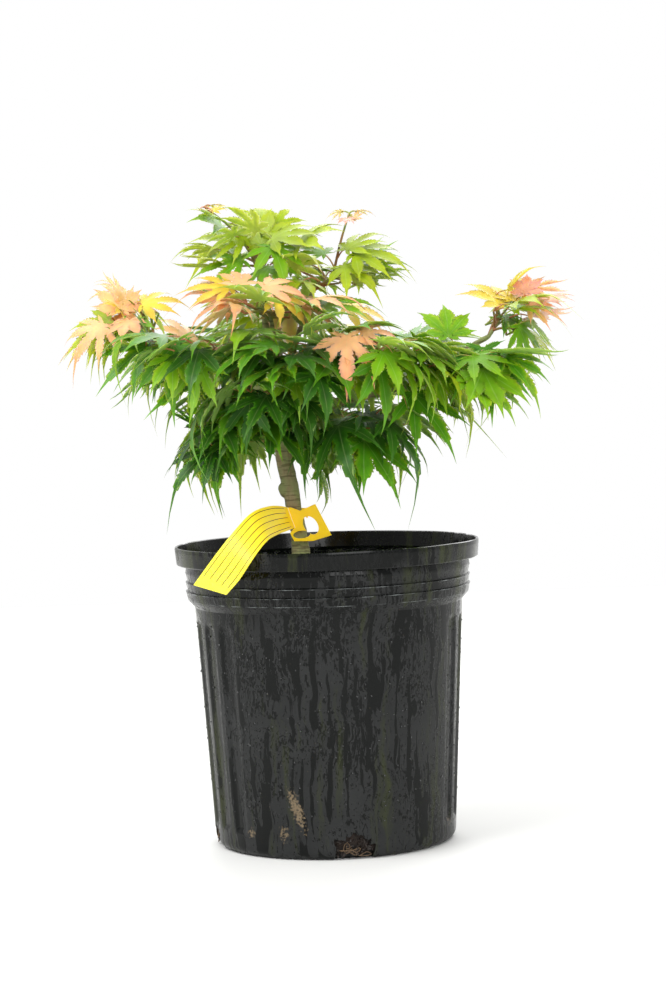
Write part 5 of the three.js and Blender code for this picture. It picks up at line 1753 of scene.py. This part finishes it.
label_plastic, tree, place = new_material("yellow_label_plastic")
across = add_node(tree, "ShaderNodeSeparateXYZ", {0: add_node(tree, "ShaderNodeUVMap")})
along = across.outputs["X"]
ruled = add_node(tree, "ShaderNodeMath", {0: across.outputs["Y"], 1: RULED_LINES}, operation="MULTIPLY")
ruled = add_node(tree, "ShaderNodeMath", {0: ruled}, operation="FRACT")
ruled = add_node(tree, "ShaderNodeMath", {0: ruled, 1: 0.5}, operation="SUBTRACT")
ruled = add_node(tree, "ShaderNodeMath", {0: ruled}, operation="ABSOLUTE")
line = add_node(tree, "ShaderNodeMapRange", {
    "Value": ruled, "From Min": 0.05, "From Max": 0.08, "To Min": 0.9, "To Max": 0.0})
begun = add_node(tree, "ShaderNodeMapRange", {
    "Value": along, "From Min": FIELD[0], "From Max": FIELD[0] + 0.02})
ended = add_node(tree, "ShaderNodeMapRange", {
    "Value": along, "From Min": FIELD[1] - 0.02, "From Max": FIELD[1], "To Min": 1.0, "To Max": 0.0})
printed = line
for part in (begun, ended):
    printed = add_node(tree, "ShaderNodeMath", {0: printed, 1: part}, operation="MULTIPLY")
print(int(RULED_LINES), "ruled lines")

# %% The crease beside the head
CREASE_SHARE = 0.012
CREASE_WANDER = 0.03

crack_noise = add_node(tree, "ShaderNodeTexNoise", {"Vector": place, "Scale": 1 / (2 * MM), "Detail": 4.0})
crack_place = add_node(tree, "ShaderNodeMath", {
    0: crack_noise, 1: CREASE_WANDER, 2: along}, operation="MULTIPLY_ADD")
crack_off = add_node(tree, "ShaderNodeMath", {
    0: crack_place, 1: CREASE_SHARE + CREASE_WANDER / 2}, operation="SUBTRACT")
crack_off = add_node(tree, "ShaderNodeMath", {0: crack_off}, operation="ABSOLUTE")
cracked = add_node(tree, "ShaderNodeMapRange", {
    "Value": crack_off, "From Min": 0.004, "From Max": 0.012, "To Min": 0.85, "To Max": 0.0})
print("the crease wanders over", CREASE_WANDER, "of the strip's length")

# %% Yellow plastic
# Smooth thin plastic with a soft gloss, smudged by handling. Daylight shines through it: a little
# subsurface colour and a faint glow stand for that. Where it was bent sharply it has gone white.
DAYLIGHT_GLOW = 0.2

fade = add_node(tree, "ShaderNodeMix", {
    "Factor": along, "A": linear("#ffc808"), "B": linear("#fff04c")}, data_type="RGBA")
handled = add_node(tree, "ShaderNodeTexNoise", {"Vector": place, "Scale": 1 / (6 * MM), "Detail": 4.0})
smudge = add_node(tree, "ShaderNodeMapRange", {
    "Value": handled, "From Min": 0.5, "From Max": 0.8, "To Max": 0.12})
plastic = fade
for share, colour in ((smudge, "#d8a818"), (printed, "#2a2618"), (cracked, "#fff8e0")):
    plastic = add_node(tree, "ShaderNodeMix", {
        "Factor": share, "A": plastic, "B": linear(colour)}, data_type="RGBA")
dents = add_node(tree, "ShaderNodeBump", {"Height": handled, "Strength": 0.15, "Distance": 0.4 * MM})
end_material(tree, {
    "Base Color": plastic, "Roughness": 0.36, "Normal": dents, "Specular IOR Level": 0.3,
    "Subsurface Weight": 0.5, "Subsurface Scale": 4 * MM, "Subsurface Radius": (1.0, 0.8, 0.1),
    "Emission Color": plastic, "Emission Strength": DAYLIGHT_GLOW})
print("the plastic glows at", DAYLIGHT_GLOW)

# %% [markdown]
# ## The label's body
# The strip is a thin plate swept between the two long edges that the source gives it, thickened square to
# its surface. The head is a flat plate, with its holes cut by a Boolean because they go right through. The
# loop is two short legs and a half circle behind the trunk.

# %% A plate between two sheets of points
LABEL_THICKNESS = 0.8


def ribbon(rows):
    """A thin closed plate between two sheets of points: rows of (front point, back point) pairs."""
    points, faces, maps = [], [], []
    width = len(rows[0])
    for n, row in enumerate(rows):
        for k, (front, back) in enumerate(row):
            points += [front, back]
            maps += [(n / (len(rows) - 1), k / (width - 1))] * 2
    at = lambda n, k, side: 2 * (n * width + k) + side
    for n in range(len(rows) - 1):
        for k in range(width - 1):
            faces.append((at(n, k, 0), at(n, k + 1, 0), at(n + 1, k + 1, 0), at(n + 1, k, 0)))
            faces.append((at(n, k, 1), at(n + 1, k, 1), at(n + 1, k + 1, 1), at(n, k + 1, 1)))
        faces.append((at(n, 0, 0), at(n + 1, 0, 0), at(n + 1, 0, 1), at(n, 0, 1)))
        faces.append((at(n, width - 1, 0), at(n, width - 1, 1), at(n + 1, width - 1, 1),
                      at(n + 1, width - 1, 0)))
    for n in (0, len(rows) - 1):
        for k in range(width - 1):
            faces.append((at(n, k, 0), at(n, k, 1), at(n, k + 1, 1), at(n, k + 1, 0)))
    return points, faces, maps


def label_part(name, rows, mapped=None):
    """A plate with its UV map: the whole print, or one place of it where that is given."""
    points, faces, maps = ribbon(rows)
    made = mesh_object(name, points, faces)
    uv = made.data.uv_layers.new(name="UVMap")
    for loop in made.data.loops:
        uv.data[loop.index].uv = mapped or maps[loop.vertex_index]
    face_outward(made)
    return made


# %% The strip
UPPER_EDGE = [(-20.4, -9.2, 181), (-24, -18, 182.4), (-30, -32, 183.3), (-39, -55, 181),
              (-46.5, -69, 173.8), (-57.6, -71.5, 160.6), (-69, -65, 146)]
LOWER_EDGE = [(-16.9, -9.6, 170.1), (-19.4, -20, 169.8), (-25.5, -40, 168.8), (-31, -66, 166.8),
              (-37.5, -79.8, 159.6), (-45, -79, 149), (-52, -72.5, 141)]
STRIP_STEPS = 60
STRIP_ACROSS = 6
LOOK_AHEAD = 0.01


def strip_row(share):
    """The points across the strip at a share of its length, in front and behind."""
    top, bottom = along_curve(UPPER_EDGE, share), along_curve(LOWER_EDGE, share)
    ahead, behind = (along_curve(UPPER_EDGE, at) + along_curve(LOWER_EDGE, at)
                     for at in (min(1, share + LOOK_AHEAD), max(0, share - LOOK_AHEAD)))
    out = np.cross(ahead - behind, top - bottom)
    out *= LABEL_THICKNESS / 2 / np.linalg.norm(out)
    middle = [mix(bottom, top, n / STRIP_ACROSS) for n in range(STRIP_ACROSS + 1)]
    return [(point + out, point - out) for point in middle]


strip = label_part("label_strip", [strip_row(step / STRIP_STEPS) for step in range(STRIP_STEPS + 1)])
print("label strip:", len(strip.data.polygons), "faces")

# %% The head and its holes
HEAD = [(-20.4, 181), (-18.6, 181.2), (-13.8, 179.2), (-5.4, 182.6), (2.8, 165.5), (-7.3, 162.7),
        (-17.3, 162.9), (-19.4, 167.4), (-16.9, 170.1)]
HEAD_FRONT = -9.4
HEAD_UV = (0.06, 0.05)
HOLES = [
    # centre x and z, half sizes, lean in degrees
    ((-8.2, 171.2), (3.6, 5.4), 32),
    ((-13.2, 166.4), (4.6, 2.1), 4),
]
HOLE_STEPS = 28
HOLE_ENDS = (-13, -6)


def hole_cutter(centre, sizes, lean):
    """A leaning oval block through the head."""
    lean = math.radians(lean)
    outline = []
    for step in range(HOLE_STEPS):
        angle = step / HOLE_STEPS * 2 * math.pi
        x, z = sizes[0] * math.cos(angle), sizes[1] * math.sin(angle)
        outline.append((centre[0] + x * math.cos(lean) - z * math.sin(lean),
                        centre[1] + x * math.sin(lean) + z * math.cos(lean)))
    return prism("hole_cutter", *([(x, y, z) for x, z in outline] for y in HOLE_ENDS))


plate = prism("plate", *([(x, y, z) for x, z in HEAD] for y in (HEAD_FRONT, HEAD_FRONT + LABEL_THICKNESS)))
head = cut_out(plate, [hole_cutter(*hole) for hole in HOLES], "label_head")
for loop in head.data.uv_layers.new(name="UVMap").data:
    loop.uv = HEAD_UV
print("label head:", len(head.data.polygons), "faces")

# %% The loop, and the label as one piece
LOOP_CENTRE = (-15.7, -1.6)
LOOP_RADIUS = 5.3
LOOP_HEIGHTS = (175.2, 180)
LOOP_STEPS = 24
LEG_END = HEAD_FRONT + 1
LABEL_SHARP_EDGE = 40


def leg_row(side):
    """The end of a leg, on one side of the trunk."""
    x = LOOP_CENTRE[0] + side * LOOP_RADIUS
    return [((x + side * LABEL_THICKNESS, LEG_END, z), (x, LEG_END, z)) for z in LOOP_HEIGHTS]


def arc_row(angle):
    """The loop behind the trunk, at an angle from its right side."""
    way = (math.cos(angle), math.sin(angle))
    return [tuple((LOOP_CENTRE[0] + way[0] * reach, LOOP_CENTRE[1] + way[1] * reach, z)
                  for reach in (LOOP_RADIUS + LABEL_THICKNESS, LOOP_RADIUS)) for z in LOOP_HEIGHTS]


arc = [arc_row(step / LOOP_STEPS * math.pi) for step in range(LOOP_STEPS + 1)]
loop = label_part("label_loop", [leg_row(1), *arc, leg_row(-1)], HEAD_UV)
joined = bmesh.new()
for part in (strip, head, loop):
    joined.from_mesh(part.data)
    bpy.data.objects.remove(part)
label_mesh = bpy.data.meshes.new("loop_label")
joined.to_mesh(label_mesh)
joined.free()
label_mesh.materials.append(label_plastic)
label_mesh.shade_smooth()
label_mesh.set_sharp_from_angle(angle=math.radians(LABEL_SHARP_EDGE))
finish_piece(in_scene("loop_label", label_mesh), "label_plastic", "plant_label")

# %% [markdown]
# ## Floor and light
# A plain pale floor and a soft white room, so that the plant's own colours show. One large lamp stands
# high on the left and a weaker one in front, as a bright overcast sky would light it.

# %% Floor
# Matt painted board, very faintly uneven in tone.
FLOOR_REACH = 14000
FLOOR_END = 1415

floor = mesh_object("studio_floor", [
    (-FLOOR_REACH, -FLOOR_REACH, 0), (FLOOR_REACH, -FLOOR_REACH, 0), (FLOOR_REACH, FLOOR_END, 0),
    (-FLOOR_REACH, FLOOR_END, 0)], [(0, 1, 2, 3)])
floor.data.materials.append(
    mottled("pale_studio_floor", "#dcdcda", "#e6e6e4", grain=500, rough=0.7, detail=2.0))
print("the floor ends", FLOOR_END, "mm behind the plant")

# %% Lamps
LAMPS = {
    # name: place in metres, aimed at, size in metres, watts
    "sky_left": ((-1.2, -0.7, 1.8), (0, 0, 0.2), 1.4, 38),
    "front_fill": ((0.6, -2.0, 1.0), (0, 0, 0.15), 1.2, 24),
    "back_light": ((0.3, 1.6, 1.4), (0, 0, 0.25), 1.6, 26),
}
for name, (stand, aim, size, watts) in LAMPS.items():
    lamp = bpy.data.lights.new(name, "AREA")
    lamp.size = size
    lamp.energy = watts
    holder = in_scene(name, lamp)
    holder.location = stand
    holder.rotation_euler = (Vector(aim) - Vector(stand)).to_track_quat("-Z", "Y").to_euler()
print(len(LAMPS), "soft lamps")

# %% A white room, dimmer in front
ROOM_FRONT = 0.6

world = bpy.data.worlds.new("soft_white_room")
world.use_nodes = True
tree = world.node_tree
tree.nodes.clear()
direction = add_node(tree, "ShaderNodeSeparateXYZ", {
    0: add_node(tree, "ShaderNodeTexCoord").outputs["Generated"]})
strength = add_node(tree, "ShaderNodeMapRange", {
    "Value": direction.outputs["Y"], "From Min": -0.6, "From Max": 0.3,
    "To Min": ROOM_FRONT, "To Max": 1.0})
background = add_node(tree, "ShaderNodeBackground", {"Color": linear("#ffffff"), "Strength": strength})
add_node(tree, "ShaderNodeOutputWorld", {"Surface": background})
bpy.context.scene.world = world
print("the room's front is at", ROOM_FRONT)
